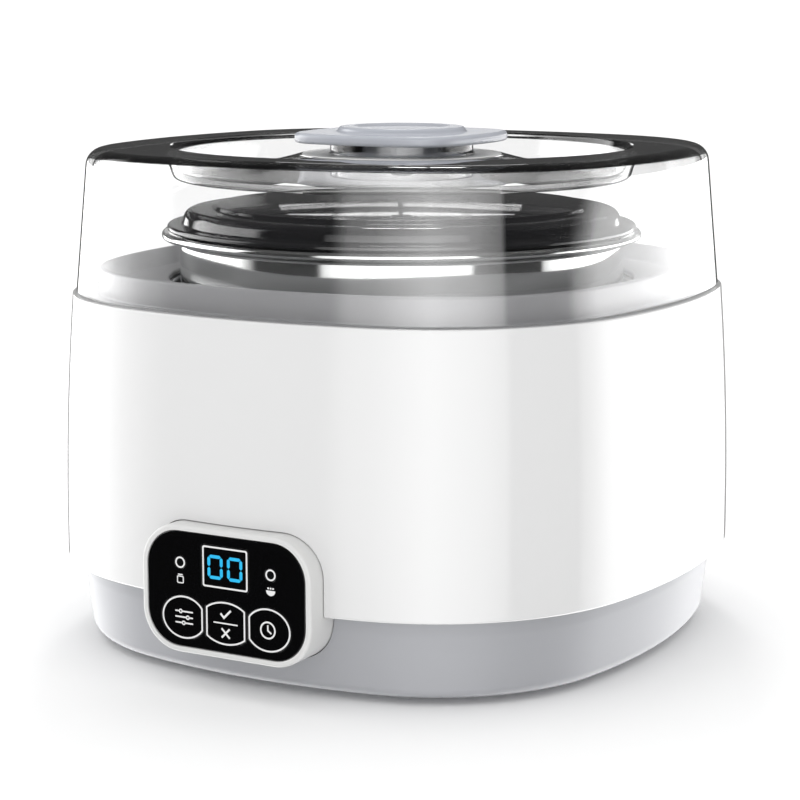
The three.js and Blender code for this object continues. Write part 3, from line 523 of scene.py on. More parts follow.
# ---------------------------------------------------------------- outer shell
PAN_HALF = pan_high[0]
SHELL_WALL = 2.5
SHELL_WIDEST = 36
SHELL_BULGE = 3.6  # how much narrower the shell is at its top
PANEL_CORNER = 14
PANEL_CORNER_STEPS = 16


def shell_half(z):
    share = max(0, (z - SHELL_WIDEST) / (BODY_TOP - SHELL_WIDEST))
    return BODY_HALF - SHELL_BULGE * share ** 2


def panel_outline(inset, y):
    """The panel's outline moved inwards, standing at this y."""
    half_height = (panel_high[2] - panel_low[2]) / 2
    plan = round_rectangle(
        panel_high[0] - inset, half_height - inset, PANEL_CORNER - inset, (0, PANEL_Z), PANEL_CORNER_STEPS)
    return np.column_stack((plan[:, 0], np.full(len(plan), y), plan[:, 1]))


def upright(name, outline, low, high, edge=0.0):
    """A prism that stands on an outline in x and y, with rounded edges at its ends."""
    centre = np.tile(outline.mean(axis=0), (len(outline), 1))
    plans = ((centre, low), (outline, low), (outline, high), (centre, high))
    rows = [at_height(plan, z) for plan, z in plans]
    return skin(name, soften(rows, [0, edge, edge, 0]))


def panel_window():
    """A cutter for the hole that the panel stands in."""
    return plate("window", [panel_outline(-GAP, 0)[:, (0, 2)]], panel_low[1] - 5, panel_low[1] + 30)


levels = np.linspace(SHELL_WIDEST, BODY_TOP - 0.8, 14)
shell = skin("shell", profile(
    (square, PAN_HALF + GAP, shell_low[2], 0.3), (square, BODY_HALF, shell_low[2], 0.9),
    *[(square, shell_half(z), z, 0) for z in levels],
    (square, shell_half(BODY_TOP), BODY_TOP, 0.8), (square, shell_half(BODY_TOP) - SHELL_WALL, BODY_TOP, 0.5),
    *[(square, shell_half(z) - SHELL_WALL, z, 0) for z in levels[::-1]],
    (square, BODY_HALF - SHELL_WALL, shell_low[2] + 2, 0.6), (square, PAN_HALF + GAP, shell_low[2] + 2, 0.3),
    closed=True), closed=True)
settle(carve(shell, panel_window()), "base", abs_gloss_white, "shell_white", "outer_shell")

# ---------------------------------------------------------------- base pan, its feet and its screws
PAN_FLOOR = pan_low[2]
PAN_WALL = 2.4
PAN_FOOT_HALF = PAN_HALF - 2.6
corners = [math.radians(45 + 90 * i) for i in range(4)]
SCREW_REACH = BODY_HALF - 13  # from the axis to a base screw, along a diagonal
FOOT_REACH = BODY_HALF - 33
SCREW_HOLE = 3.6
FOOT_HOLE = 3.3
VENT_X = 30
VENT_HALF = 12.4
VENT_PITCH = 16
VENT_WIDTH = 3.2
BOSS_TOP = PAN_FLOOR + 6.5
SINK_TOP = BOSS_TOP - 2.4


def at_corner(reach, angle):
    return np.array((reach * math.cos(angle), reach * math.sin(angle)))


pan = skin("pan", profile(
    (circle, 0, PAN_FLOOR, 0), (square, PAN_FOOT_HALF, PAN_FLOOR, 4), (square, PAN_HALF, 24, 12),
    (square, PAN_HALF, pan_high[2], 0.5), (square, PAN_HALF - PAN_WALL, pan_high[2], 0.5),
    (square, PAN_HALF - PAN_WALL, 24, 12), (square, PAN_FOOT_HALF - PAN_WALL, PAN_FLOOR + PAN_WALL, 3),
    (circle, 0, PAN_FLOOR + PAN_WALL, 0)))
cutters = [panel_window(), block(
    "inlet opening", (inlet_low[0] - GAP, inlet_high[1] - 25, inlet_low[2] - GAP),
    (inlet_high[0] + GAP, inlet_high[1] + 10, inlet_high[2] + GAP))]
for angle in corners:
    for reach, radius in ((SCREW_REACH, SCREW_HOLE), (FOOT_REACH, FOOT_HOLE)):
        rim = ring_points(radius, at_corner(reach, angle), 32)
        cutters.append(upright("hole", rim, PAN_FLOOR - 1, PAN_FLOOR + 4))
for side in (-1, 1):
    for row in range(4):
        y = (row - 1.5) * VENT_PITCH
        vent = bar((side * VENT_X - VENT_HALF, y), (side * VENT_X + VENT_HALF, y), VENT_WIDTH)
        cutters.append(upright("vent", vent, PAN_FLOOR - 1, PAN_FLOOR + 4))
pan = carve(pan, joined("cutters", *cutters))
bosses = [turned("boss", (
    (SCREW_HOLE, PAN_FLOOR + 1, 0), (5.5, PAN_FLOOR + 1, 0), (5.5, BOSS_TOP, 0.4), (1.8, BOSS_TOP, 0.2),
    (1.8, SINK_TOP, 0.1), (SCREW_HOLE, SINK_TOP, 0.1)), at_corner(SCREW_REACH, angle), 32, True)
    for angle in corners]
settle(joined("pan", pan, *bosses), "base", abs_satin_grey, "base_grey", "base_pan")

for i, angle in enumerate(corners, 1):
    _, foot_high = span(f"foot_{i}")
    step = pan_low[2] - GAP
    foot = turned(f"foot_{i}_rubber", (
        (0, 0.7, 0), (4.4, 0.7, 0.4), (5.0, 0, 0.3), (8, 0, 0.8), (8, step, 0.2), (3, step, 0.2),
        (3, foot_high[2], 0.8), (0, foot_high[2], 0)), at_corner(FOOT_REACH, angle), 40)
    settle(foot, "base", rubber_grey, "foot_rubber", f"foot_{i}")
    screw_low, screw_high = span(f"base_screw_{i}")
    seat = screw_low[2] + 2
    screw = turned("screw", (
        (0, screw_low[2], 0), (2.2, screw_low[2], 0.8), (3.1, screw_low[2] + 0.9, 0.5), (3.1, seat, 0.2),
        (1.5, seat, 0.2), (1.5, screw_high[2] - 1.6, 0.2), (0.2, screw_high[2], 0.1), (0, screw_high[2], 0)),
        at_corner(SCREW_REACH, angle), 32)
    x, y = at_corner(SCREW_REACH, angle)
    slots = [block("slot", (x - a, y - b, screw_low[2] - 1), (x + a, y + b, screw_low[2] + 1.1))
             for a, b in ((1.9, 0.35), (0.35, 1.9))]
    screw = carve(screw, *slots)
    screw.name = f"base_screw_{i}_cross_head"
    settle(screw, "base", steel_zinc, "screw_zinc", f"base_screw_{i}")

# ---------------------------------------------------------------- deck and heating well
FLANGE_HALF = deck_high[0]
LIP_HALF = BODY_HALF - 12.9
SLOPE_HALF = BODY_HALF - 21.2
DECK_FLOOR = BODY_TOP + 3.7
MOUTH = well_high[0] - 4.5
deck = skin("deck", profile(
    (square, FLANGE_HALF, deck_high[2] - 11.1, 0.3), (square, FLANGE_HALF, BODY_TOP - 0.3, 0.5),
    (square, LIP_HALF + 0.3, BODY_TOP - 0.3, 0.8), (square, LIP_HALF, deck_high[2], 0.9),
    (square, LIP_HALF - 1.8, deck_high[2], 0.9), (square, SLOPE_HALF + 0.2, DECK_FLOOR, 1.5),
    (circle, MOUTH, DECK_FLOOR, 0.8), (circle, MOUTH, DECK_FLOOR - 2, 0.3),
    (square, SLOPE_HALF - 0.3, DECK_FLOOR - 2, 0.5), (square, LIP_HALF - 3, DECK_FLOOR + 0.6, 0.5),
    (square, LIP_HALF - 3, deck_high[2] - 11.1, 0.3), closed=True), closed=True)
posts = [turned("post", (
    (1.8, deck_low[2], 0.1), (4.5, deck_low[2], 0.3), (4.5, DECK_FLOOR - 1, 0), (0, DECK_FLOOR - 1, 0),
    (0, deck_low[2] + 9, 0), (1.8, deck_low[2] + 9, 0)), at_corner(SCREW_REACH, angle), 32, True)
    for angle in corners]
# the deck's darker grey is painted shade
settle(joined("deck", deck, *posts), "base", abs_deck_painted_shade, "deck_white", "top_deck")

WELL_MOUTH = MOUTH - 1.5
WELL_FOOT = WELL_MOUTH - 6.5
WELL_WALL = 1.2
well = skin("well", profile(
    (circle, 0, well_low[2], 0), (circle, WELL_FOOT, well_low[2], 6),
    (circle, WELL_MOUTH + WELL_WALL, well_high[2] - WELL_WALL, 0.6),
    (circle, well_high[0], well_high[2] - WELL_WALL, 0.3),
    (circle, well_high[0], well_high[2], 0.3), (circle, WELL_MOUTH, well_high[2], 1.2),
    (circle, WELL_FOOT - WELL_WALL, well_low[2] + WELL_WALL, 5), (circle, 0, well_low[2] + WELL_WALL, 0)))
settle(well, "base", aluminium_spun, "well_aluminium", "heating_well")

# ---------------------------------------------------------------- steel bowl
RIM = bowl_high[0]
ROLL = 1.4
RIM_Z = bowl_high[2] - ROLL
NECK = RIM - 6.2
NECK_FOOT = RIM_Z - 17
BOWL_FOOT = NECK - 6.5
roll_turns = np.radians(np.linspace(-128, 150, 16))
bowl = skin("bowl", profile(
    (circle, 0, bowl_low[2], 0), (circle, BOWL_FOOT, bowl_low[2], 9), (circle, NECK, NECK_FOOT, 4),
    (circle, NECK, RIM_Z - 2.4, 1.2),
    *[(circle, RIM - ROLL + ROLL * math.cos(a), RIM_Z + ROLL * math.sin(a), 0) for a in roll_turns],
    (circle, NECK + 1, RIM_Z - 0.8, 0.6), (circle, NECK - 1, RIM_Z - 2, 1), (circle, NECK - 1, NECK_FOOT, 4),
    (circle, BOWL_FOOT - 1, bowl_low[2] + 1, 8), (circle, 0, bowl_low[2] + 1, 0)))
settle(bowl, "bowl", steel_drawn, "bowl_steel", "inner_bowl", sharp=50)

# ---------------------------------------------------------------- inner lid and its gasket
LID_SEAT = bowl_high[2] + GAP
LID_EDGE = lid_high[0]
PLATEAU = LID_EDGE - 9.6
PLATEAU_Z = LID_SEAT + 7.2
CROWN = lid_high[2]
SKIRT = NECK - 2.6
STEP = PLATEAU - 7
dome = [(circle, r, CROWN - 1.4 * (r / STEP) ** 2, 0) for r in np.linspace(STEP - 6, 0, 10)]
lid = skin("lid", profile(
    (circle, 0, PLATEAU_Z - 0.6, 0), (circle, PLATEAU - 10, PLATEAU_Z - 1.2, 4),
    (circle, PLATEAU - 0.6, PLATEAU_Z - 3, 3), (circle, SKIRT - 2, LID_SEAT - 0.4, 1),
    (circle, SKIRT - 2, lid_low[2], 0.5), (circle, SKIRT, lid_low[2], 0.6), (circle, SKIRT, LID_SEAT, 0.3),
    (circle, LID_EDGE, LID_SEAT, 0.7), (circle, LID_EDGE, LID_SEAT + 2, 0.9),
    (circle, LID_EDGE - 5, LID_SEAT + 2, 0.8), (circle, LID_EDGE - 6.4, LID_SEAT + 7.0, 4.0),
    (circle, STEP + 1, PLATEAU_Z + 0.2, 0.5), (circle, STEP, PLATEAU_Z + 1.3, 0.7), *dome))
settle(lid, "lid", san_smoked, "lid_smoked", "inner_lid")

gasket_middle = (gasket_low[2] + gasket_high[2]) / 2
gasket = skin("lid_seal", profile(
    (circle, gasket_high[0] - 0.9, gasket_low[2], 0.2), (circle, gasket_high[0], gasket_middle - 0.4, 0.4),
    (circle, gasket_high[0], gasket_middle + 0.4, 0.4), (circle, gasket_high[0] - 0.9, gasket_high[2], 0.2),
    closed=True), closed=True)
settle(gasket, "lid", silicone_white, "gasket_silicone", "lid_gasket")

# ---------------------------------------------------------------- clear outer cover
WALL = 2.2
COVER_HALF = cover_high[0]
COVER_TOP = cover_high[2]
COVER_LEAN = 4.6  # how much narrower the cover's sides would be at its top
RECESS = COVER_HALF - 25
RECESS_EDGE = COVER_TOP - 9.2
PLATE_Z = RECESS_EDGE + 6  # flat middle of the recess's floor
PLATE_RADIUS = 36
BOSS = 25
BOSS_TOP_Z = PLATE_Z + 4
BOSS_DROP = 5.6  # depth of the ring under the plate, round the knob's screw
BORE = 2.5  # hole for the knob's screw
WEB_DROP = 0.6  # how far the web inside the boss lies under the plate


def floor_z(radius):
    share = max(0, radius - PLATE_RADIUS) / (RECESS - 3 - PLATE_RADIUS)
    return PLATE_Z - 6 * share * (2 - share)


slope = np.linspace(RECESS - 7, PLATE_RADIUS, 10)
cover = skin("cover", profile(
    (square, COVER_HALF - WALL, cover_low[2], 0.4), (square, COVER_HALF, cover_low[2], 0.5),
    (square, COVER_HALF - COVER_LEAN, COVER_TOP, 6), (circle, RECESS + 0.5, COVER_TOP, 1.0),
    (circle, RECESS - 2.1, RECESS_EDGE, 2.4), *[(circle, r, floor_z(r), 0) for r in slope],
    (circle, BOSS, PLATE_Z, 0.5), (circle, BOSS, BOSS_TOP_Z, 0.4), (circle, BOSS - WALL, BOSS_TOP_Z, 0.3),
    (circle, BOSS - WALL, PLATE_Z - WEB_DROP, 0.3), (circle, BORE, PLATE_Z - WEB_DROP, 0.2),
    (circle, BORE, PLATE_Z - WALL - WEB_DROP, 0.2), (circle, BOSS - WALL, PLATE_Z - WALL - WEB_DROP, 0.3),
    (circle, BOSS - WALL, PLATE_Z - WALL - BOSS_DROP, 0.3), (circle, BOSS, PLATE_Z - WALL - BOSS_DROP, 0.4),
    (circle, BOSS, PLATE_Z - WALL, 0.5),
    *[(circle, r, floor_z(r) - WALL, 0) for r in slope[::-1]],
    (circle, RECESS - 0.4, RECESS_EDGE - WALL, 2.6), (circle, RECESS + 2.4, COVER_TOP - WALL, 1.0),
    (square, COVER_HALF - COVER_LEAN - WALL, COVER_TOP - WALL, 4.5), closed=True, steps=8), closed=True)
settle(cover, "cover", san_clear, "cover_clear", "outer_cover")

# ---------------------------------------------------------------- knob with its collar, screw and washer
KNOB_HALF = knob_high[0]
KNOB_FOOT = BOSS_TOP_Z + GAP
KNOB_TOP = knob_high[2]
FLANGE_TOP = KNOB_FOOT + 3.5
STEM = BOSS - WALL - KEY_GAP


def knob_plan(half, z):
    inset = KNOB_HALF - half
    return at_height(bowed_square(half, 95 - inset, 15 - inset), z)


knob = skin("knob", profile(
    (circle, 0, knob_low[2], 0), (circle, STEM, knob_low[2], 0.4), (circle, STEM, KNOB_FOOT, 0.4),
    (knob_plan, KNOB_HALF, KNOB_FOOT, 1.3), (knob_plan, KNOB_HALF, FLANGE_TOP, 1.4),
    (circle, 22.6, FLANGE_TOP, 1.2),
    (circle, 21.8, KNOB_TOP, 1.4), (circle, 18.4, KNOB_TOP, 1.2), (circle, 15, KNOB_TOP - 0.8, 6),
    (circle, 0, KNOB_TOP - 0.8, 0)))
knob = carve(knob, upright("pilot", ring_points(BORE, steps=32), knob_low[2] - 2, KNOB_FOOT + 2.5))
settle(knob, "cover", abs_knob_grey, "knob_grey", "cover_knob")

collar = skin("knob_seat_ring", profile(
    (circle, BOSS + GAP, collar_low[2], 0.1), (circle, collar_high[0], collar_low[2], 0.1),
    (circle, collar_high[0], collar_high[2], 0.5), (circle, BOSS + GAP, collar_high[2], 0.3),
    closed=True), closed=True)
settle(collar, "cover", abs_satin_white, "knob_grey", "knob_collar")

screw_low, screw_high = span("knob_screw")
knob_screw = turned("screw", (
    (0, screw_low[2], 0), (3.4, screw_low[2], 1.2), (4.4, screw_low[2] + 1.2, 0.6),
    (4.4, screw_low[2] + 2.4, 0.2), (2.2, screw_low[2] + 2.4, 0.2), (2.2, screw_high[2], 0.4),
    (0, screw_high[2], 0)))
knob_screw = carve(knob_screw, *[
    block("slot", (-a, -b, screw_low[2] - 1), (a, b, screw_low[2] + 1.3))
    for a, b in ((2.7, 0.45), (0.45, 2.7))])
knob_screw.name = "knob_screw_cross_head"
settle(knob_screw, "cover", steel_zinc, "screw_zinc", "knob_screw")
washer_low, washer_high = span("knob_washer")
washer = turned("knob_screw_washer", (
    (2.5, washer_low[2], 0.1), (7, washer_low[2], 0.2), (7, washer_high[2], 0.2), (2.5, washer_high[2], 0.1)),
    closed=True)
settle(washer, "cover", steel_zinc, "screw_zinc", "knob_washer")

# ---------------------------------------------------------------- control panel
PANEL_FACE = panel_low[1]
BEZEL = 2.3
LENS_FRONT = lens_low[1]
LENS_BACK = lens_high[1]
WEB_FRONT = LENS_BACK + GAP
WEB_BACK = WEB_FRONT + 1.6
INK = 0.06  # how far printing stands off the surface, thicker than real ink so that it shows
LINE = 0.55  # width of the printed outlines


def flat_disc(half_width, half_height, centre, low, high, steps=28):
    """A disc cut flat at low and high from its centre: the keys' outline."""
    turns = np.linspace(math.acos(min(1, high / half_width)), math.acos(max(-1, low / half_width)), steps)
    upper = np.stack((half_width * np.cos(turns), half_height * np.sin(turns)), axis=1)
    lower = upper[::-1] * (1, -1)
    points = np.concatenate((upper, lower)) + centre
    apart = np.linalg.norm(points - np.roll(points, -1, axis=0), axis=1) > 1e-6
    return points[apart]


def key_outline(key, grow):
    low, high = span(key)
    middle_z = (low[2] + high[2]) / 2
    half_height = KEY_HALF_HEIGHT + grow
    if key == "key_confirm":
        half_width = high[0] + 2.6 + grow
        return flat_disc(half_width, half_height, (0, middle_z), -high[0] - grow, high[0] + grow)
    side = 1 if low[0] > 0 else -1
    outer, inner = max(abs(low[0]), abs(high[0])), min(abs(low[0]), abs(high[0]))
    radius = (outer - inner) / 2 + 0.6
    centre = outer - radius
    points = flat_disc(radius + grow, half_height, (0, 0), inner - centre - grow, radius + grow)
    return points * (side, 1) + (side * centre, middle_z)


KEY_HALF_HEIGHT = 7.2
KEYS = ("key_function", "key_confirm", "key_time")
LAMPS = ("lamp_left", "lamp_right")
lamp_spots = {}
for name in LAMPS:
    low, high = span(name)
    lamp_spots[name] = ((low[0] + high[0]) / 2, (low[2] + high[2]) / 2)
LAMP_RADIUS = (high[0] - low[0]) / 2
DISPLAY_HALF = display_high[0]
DISPLAY_HALF_HEIGHT = (display_high[2] - display_low[2]) / 2
DISPLAY_Z = (display_high[2] + display_low[2]) / 2

holes = [key_outline(key, KEY_GAP) for key in KEYS]
holes += [ring_points(LAMP_RADIUS + GAP, spot) for spot in lamp_spots.values()]
holes.append(round_rectangle(DISPLAY_HALF + GAP, DISPLAY_HALF_HEIGHT + GAP, 1, (0, DISPLAY_Z)))

frame_ring = skin("panel", profile(
    (panel_outline, 0, panel_high[1], 0.4), (panel_outline, 0, PANEL_FACE, 1.5),
    (panel_outline, BEZEL - GAP, PANEL_FACE, 0.45), (panel_outline, BEZEL - GAP, panel_high[1], 0.3),
    closed=True), closed=True)
web = plate("web", [panel_outline(BEZEL - GAP - 0.1, 0)[:, (0, 2)], *holes], WEB_FRONT, WEB_BACK)
housing = joined("panel_housing_bezel", frame_ring, web)
settle(housing, "base", abs_satin_white, "shell_white", "panel_housing")
lens = plate("panel_window", [panel_outline(BEZEL, 0)[:, (0, 2)], *holes], LENS_FRONT, LENS_BACK, 0.12)
settle(lens, "base", acrylic_black, "panel_black", "panel_lens")


def printed(name, body, front, outlines, surface=ink_white, slot="shell_white"):
    """Ink on a face that looks to -Y. Each entry is an outline with its holes."""
    marks = [plate("mark", group, front - INK, front + INK / 3) for group in outlines]
    return settle(joined(name, *marks), body, surface, slot)


def band(outline_of, width=LINE):
    """A printed line of this width that runs inside an outline; outline_of gives it grown by an amount."""
    return [outline_of(-0.1), outline_of(-0.1 - width)]


def polygon(*points):
    return [np.array(points, float)]


def shifted(groups, dx, dz):
    return [[outline + (dx, dz) for outline in group] for group in groups]


# Icons, drawn about their own centre.
sliders = []
for level, knob_x in ((1.9, -1.3), (0, 1.4), (-1.9, -0.2)):
    sliders += [
        [bar((-3.2, level), (knob_x - 0.95, level), 0.5)], [bar((knob_x + 0.95, level), (3.2, level), 0.5)],
        [ring_points(0.75, (knob_x, level), 24), ring_points(0.32, (knob_x, level), 24)]]
tick = [polygon((-2.1, 0.2), (-1.6, 0.7), (-0.6, -0.35), (1.8, 2.0), (2.25, 1.5), (-0.6, -1.35))]
cross = [polygon((-1.75, -1.3), (-1.3, -1.75), (0, -0.45), (1.3, -1.75), (1.75, -1.3), (0.45, 0),
                 (1.75, 1.3), (1.3, 1.75), (0, 0.45), (-1.3, 1.75), (-1.75, 1.3), (-0.45, 0))]
clock = [[ring_points(2.9), ring_points(2.35)],
         polygon((-0.25, 1.7), (0.25, 1.7), (0.25, 0.1), (1.45, -0.75), (1.15, -1.2), (-0.25, -0.2))]
jar = [polygon((-0.9, 1.5), (0.9, 1.5), (0.9, 1.1), (-0.9, 1.1)),
       [round_rectangle(1.3, 1.25, 0.5, (0, -0.35)), round_rectangle(0.95, 0.9, 0.3, (0, -0.35))]]
dish_arc = np.linspace(math.pi, 2 * math.pi, 20)
dish = [[np.stack((1.7 * np.cos(dish_arc), 0.3 + 1.7 * np.sin(dish_arc)), axis=1)]]
grains = [[ring_points(0.33, (x, 1.0), 16)] for x in (-0.9, 0, 0.9)]
divider = [[bar((-4.4, 0), (4.4, 0), 0.45)]]
icons = {
    "key_function": shifted(sliders, 0, 0),
    "key_confirm": shifted(tick, 0, 2.7) + divider + shifted(cross, 0, -3.2),
    "key_time": clock,
}

for key in KEYS:
    low, high = span(key)
    key_z = (low[2] + high[2]) / 2
    side = 0 if key == "key_confirm" else (1 if low[0] > 0 else -1)
    key_x = side * ((abs(low[0]) + abs(high[0])) / 2 - 0.6)
    face = plate("face", [key_outline(key, 0)], low[1], WEB_BACK + 0.8, 0.12)
    tab = block("tab", (key_x - 2.5, WEB_BACK + GAP, low[2]), (key_x + 2.5, WEB_BACK + 1.3, high[2]), 0.2)
    plunger = plate("plunger", [ring_points(2, (key_x, key_z))], WEB_BACK + GAP, high[1], 0.2)
    settle(joined(f"{key}_cap", face, tab, plunger), key, acrylic_black, "panel_black", key)
    outline = [band(functools.partial(key_outline, key))]
    printed(f"{key}_print", key, low[1], outline + shifted(icons[key], key_x, key_z))

display = plate("display_window", [round_rectangle(DISPLAY_HALF, DISPLAY_HALF_HEIGHT, 0.8, (0, DISPLAY_Z))],
                display_low[1], display_high[1], 0.1)
settle(display, "base", acrylic_black, "display_black", "display_module")


def display_outline(grow):
    return round_rectangle(
        DISPLAY_HALF + grow, DISPLAY_HALF_HEIGHT + grow, 0.8 + grow / 2, (0, DISPLAY_Z))


printed("display_frame_print", "base", display_low[1], [band(display_outline)])

# Two figures of seven segments, all lit but the middle one.
DIGIT_HALF = 2.35
DIGIT_HALF_HEIGHT = 3.4
SEGMENT = 1.05


def segment(start, end):
    """A lit bar with pointed ends."""
    start, end = np.array(start, float), np.array(end, float)
    along = (end - start) / np.linalg.norm(end - start)
    across = np.array((-along[1], along[0])) * SEGMENT / 2
    tip = along * SEGMENT / 2
    start, end = start + along * 0.12, end - along * 0.12
    return [np.array((
        start, start + tip + across, end - tip + across, end, end - tip - across, start + tip - across))]


segments = []
for digit_x in (-3.7, 3.7):
    left, right = digit_x - DIGIT_HALF, digit_x + DIGIT_HALF
    top, bottom = DISPLAY_Z + DIGIT_HALF_HEIGHT, DISPLAY_Z - DIGIT_HALF_HEIGHT
    segments += [segment((left, top), (right, top)), segment((left, bottom), (right, bottom))]
    for x in (left, right):
        segments += [segment((x, DISPLAY_Z), (x, top)), segment((x, bottom), (x, DISPLAY_Z))]
printed("display_figures", "base", display_low[1], segments, led_cyan, "display_black")

for name, (x, z) in lamp_spots.items():
    low, high = span(name)
    settle(plate(f"{name}_lens", [ring_points(LAMP_RADIUS, (x, z))], low[1], high[1], 0.25),
           "base", lamp_dark, "lamp_lens", name)
    ring = [ring_points(LAMP_RADIUS - 0.02, (x, z)), ring_points(1.35, (x, z))]
    printed(f"{name}_ring_print", "base", low[1], [ring])
label_z = DISPLAY_Z - 5.3
left_x, right_x = [spot[0] for spot in lamp_spots.values()]
printed("lamp_labels_print", "base", LENS_FRONT,
        shifted(jar, left_x, label_z) + shifted(dish + grains, right_x, label_z))

# ---------------------------------------------------------------- power inlet
inlet_z = (inlet_low[2] + inlet_high[2]) / 2
inlet = block("inlet", inlet_low, inlet_high, 1.0)
SOCKET_DEPTH = 12
socket_outline = bar((-3.8, inlet_z), (3.8, inlet_z), 9.2, 16)
socket = plate("socket", [socket_outline], inlet_high[1] - SOCKET_DEPTH, inlet_high[1] + 1)
pin_boxes = {side: span(f"inlet_pin_{side}") for side in ("left", "right")}
PIN_RADIUS = 1.2
pin_holes = []
for low, high in pin_boxes.values():
    rim = ring_points(PIN_RADIUS + GAP, ((low[0] + high[0]) / 2, inlet_z))
    pin_holes.append(plate("hole", [rim], inlet_low[1] - 1, inlet_high[1]))
settle(carve(inlet, socket, *pin_holes), "base", abs_black, "black_plastic", "inlet_housing")
for side, (low, high) in pin_boxes.items():
    rim = ring_points(PIN_RADIUS, ((low[0] + high[0]) / 2, inlet_z))
    pin = plate(f"inlet_pin_{side}_round_end", [rim], low[1], high[1], 0.5)
    settle(pin, "base", brass_turned, "pin_brass", f"inlet_pin_{side}")

# ---------------------------------------------------------------- hidden pieces keep their mesh
for part in frame["record"]["subparts"]:
    node = frame["nodes"][part["node"]]
    if not node.hide_render:
        node.data.materials.clear()
        node.data.materials.append(BY_SLOT[part["material_slot"]])

# ---------------------------------------------------------------- floor, light and camera
def place(x, y, z):
    """A point given in mm from the bowl's axis, in metres."""
    return Vector((x, y + AXIS_Y, z)) * MM


floor_mesh = bpy.data.meshes.new("floor")
FLOOR_HALF = 40  # metres
floor_corners = [(x * FLOOR_HALF, y * FLOOR_HALF, 0) for x, y in ((-1, -1), (1, -1), (1, 1), (-1, 1))]
floor_mesh.from_pydata(floor_corners, [], [(0, 1, 2, 3)])
floor = bpy.data.objects.new("floor", floor_mesh)
floor_paint = bpy.data.materials.new("floor white")
floor_paint.use_nodes = True
floor_shader = floor_paint.node_tree.nodes["Principled BSDF"]
floor_shader.inputs["Base Color"].default_value = (0.97, 0.97, 0.97, 1)
floor_shader.inputs["Roughness"].default_value = 1.0
floor_shader.inputs["Specular IOR Level"].default_value = 0.0
floor_mesh.materials.append(floor_paint)
floor.visible_glossy = False
bpy.context.scene.collection.objects.link(floor)

# The studio: a white room for light. In reflections its walls are white, grey or black by compass angle.
world = bpy.data.worlds.new("studio")
bpy.context.scene.world = world
world.use_nodes = True
studio = world.node_tree
studio.nodes.clear()


def by_compass(*walls):
    """Ramp stops from (degrees, level), where 0 degrees is -Y and 90 is +X."""
    return [((degrees + 180) / 360, level) for degrees, level in walls]


direction = add(studio, "ShaderNodeTexCoord", output="Generated")
axes = {axis: add(studio, "ShaderNodeSeparateXYZ", {"Vector": direction}, axis) for axis in "XYZ"}
toward = add(studio, "ShaderNodeMath", {0: axes["Y"], 1: -1.0}, operation="MULTIPLY")
angle = add(studio, "ShaderNodeMath", {0: axes["X"], 1: toward}, operation="ARCTAN2")
turn = add(studio, "ShaderNodeMapRange", {"Value": angle, "From Min": -math.pi, "From Max": math.pi})
BLACK = 0.012
# Two black stretches with a grey window between them make the bands on the shell and the bowl.
WINDOW = (-50, BLACK), (-13.5, BLACK), (-10.5, 0.36), (25, 1.0), (51, 0.7), (64, 0.4), (66, BLACK)
# Below the horizon, a dark stretch beyond the object draws its outline.
low_wall = add(studio, "ShaderNodeValToRGB", {"Fac": turn}, stops=by_compass(
    (-180, 1.0), (-178, 1.0), (-172, 0.02), (-131, 0.02), (-127, 1.0), (-85, 1.0), (-62, 0.55), (-56, 0.25),
    *WINDOW, (104, BLACK), (107, 0.3), (125, 1.0), (180, 1.0)))
high_wall = add(studio, "ShaderNodeValToRGB", {"Fac": turn}, stops=by_compass(
    (-180, 0.02), (-112, 0.02), (-106, 1.0), (-56, 1.0), *WINDOW, (180, 0.02)))
above = add(studio, "ShaderNodeMapRange", {"Value": axes["Z"], "From Min": 0.02, "From Max": 0.05})
walls = add(studio, "ShaderNodeMix", {"Factor": above, "A": low_wall, "B": high_wall}, data_type="RGBA")
overhead = add(studio, "ShaderNodeMapRange", {"Value": axes["Z"], "From Min": 0.42, "From Max": 0.6})
room = add(studio, "ShaderNodeMix", {
    "Factor": overhead, "A": walls, "B": (0.03, 0.03, 0.03, 1)}, data_type="RGBA")
mirrored = add(studio, "ShaderNodeBackground", {"Color": room, "Strength": 4.0})
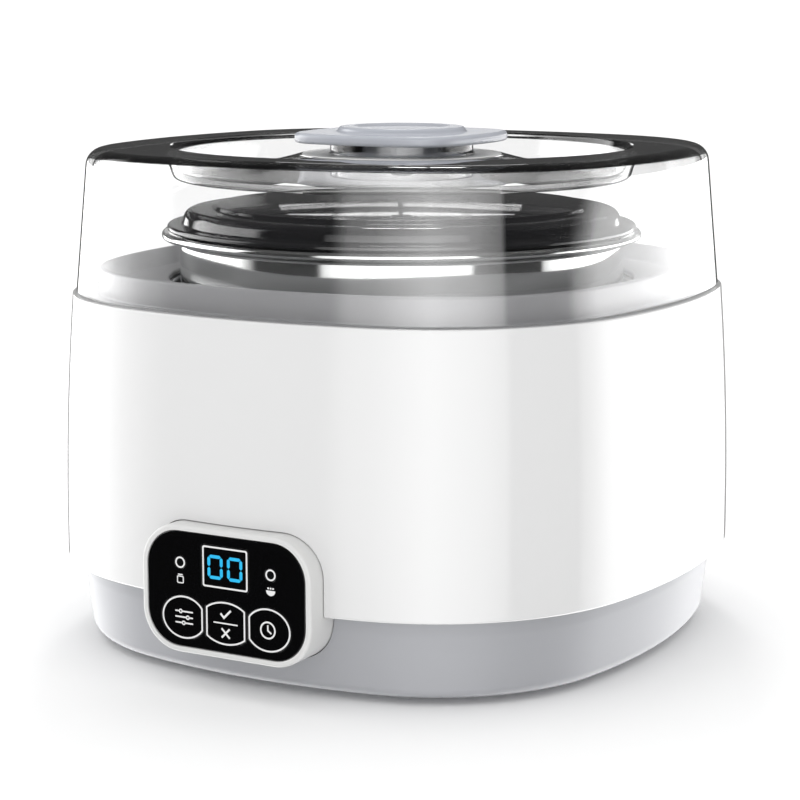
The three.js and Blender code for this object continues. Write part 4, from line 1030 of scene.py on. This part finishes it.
# The plain light is a little weaker from the right, so that sides that face there are shaded.
from_right = add(studio, "ShaderNodeMapRange", {"Value": axes["X"], "To Min": 1.0, "To Max": 0.78})
is_seen = add(studio, "ShaderNodeLightPath", output="Is Camera Ray")
level = add(studio, "ShaderNodeMath", {0: from_right, 1: is_seen}, operation="MAXIMUM")
plain = add(studio, "ShaderNodeBackground", {"Color": level, "Strength": 1.2})
is_mirror = add(studio, "ShaderNodeLightPath", output="Is Glossy Ray")
both = add(studio, "ShaderNodeMixShader", {"Fac": is_mirror, 1: plain, 2: mirrored})
add(studio, "ShaderNodeOutputWorld", {"Surface": both})


LOOK = np.array((-0.4883, 0.8727, 0))  # the way the camera looks, level with the floor
SIDE = np.array((0.8727, 0.4883, 0))


def softbox(name, away, shift, up, aim_z, width, height, power):
    """A lamp beyond the axis by away and to the right by shift, seen only in reflections."""
    light = bpy.data.lights.new(name, "AREA")
    light.shape = "RECTANGLE"
    light.size, light.size_y = width * MM, height * MM
    light.energy = power
    lamp = bpy.data.objects.new(name, light)
    at = place(*(LOOK * away + SIDE * shift + (0, 0, up)))
    lamp.location = at
    lamp.rotation_euler = (place(0, 0, aim_z) - at).to_track_quat("-Z", "Y").to_euler()
    lamp.visible_camera = False
    bpy.context.scene.collection.objects.link(lamp)


for side, name in ((-1, "left pane"), (1, "right pane")):
    softbox(f"overhead {name}", 900, side * 62, 1250, 140, 110, 200, 1.2)
for side, name in ((-1, "left pane"), (1, "right pane")):
    softbox(f"far {name}", 2000, side * 82, 450, 150, 158, 150, 0.16)

view = bpy.data.cameras.new("view")
view.lens = 101.88
view.sensor_width = 36
view.clip_end = 100
camera = bpy.data.objects.new("view", view)
camera.location = place(388.0, -694.7, 221.0)
pitch = math.radians(10.085)
aim = Vector((*(LOOK[:2] * math.cos(pitch)), -math.sin(pitch)))
camera.rotation_euler = aim.to_track_quat("-Z", "Y").to_euler()
bpy.context.scene.collection.objects.link(camera)
bpy.context.scene.camera = camera
bpy.context.scene.view_settings.view_transform = "Standard"
bpy.context.scene.cycles.transparent_max_bounces = 32
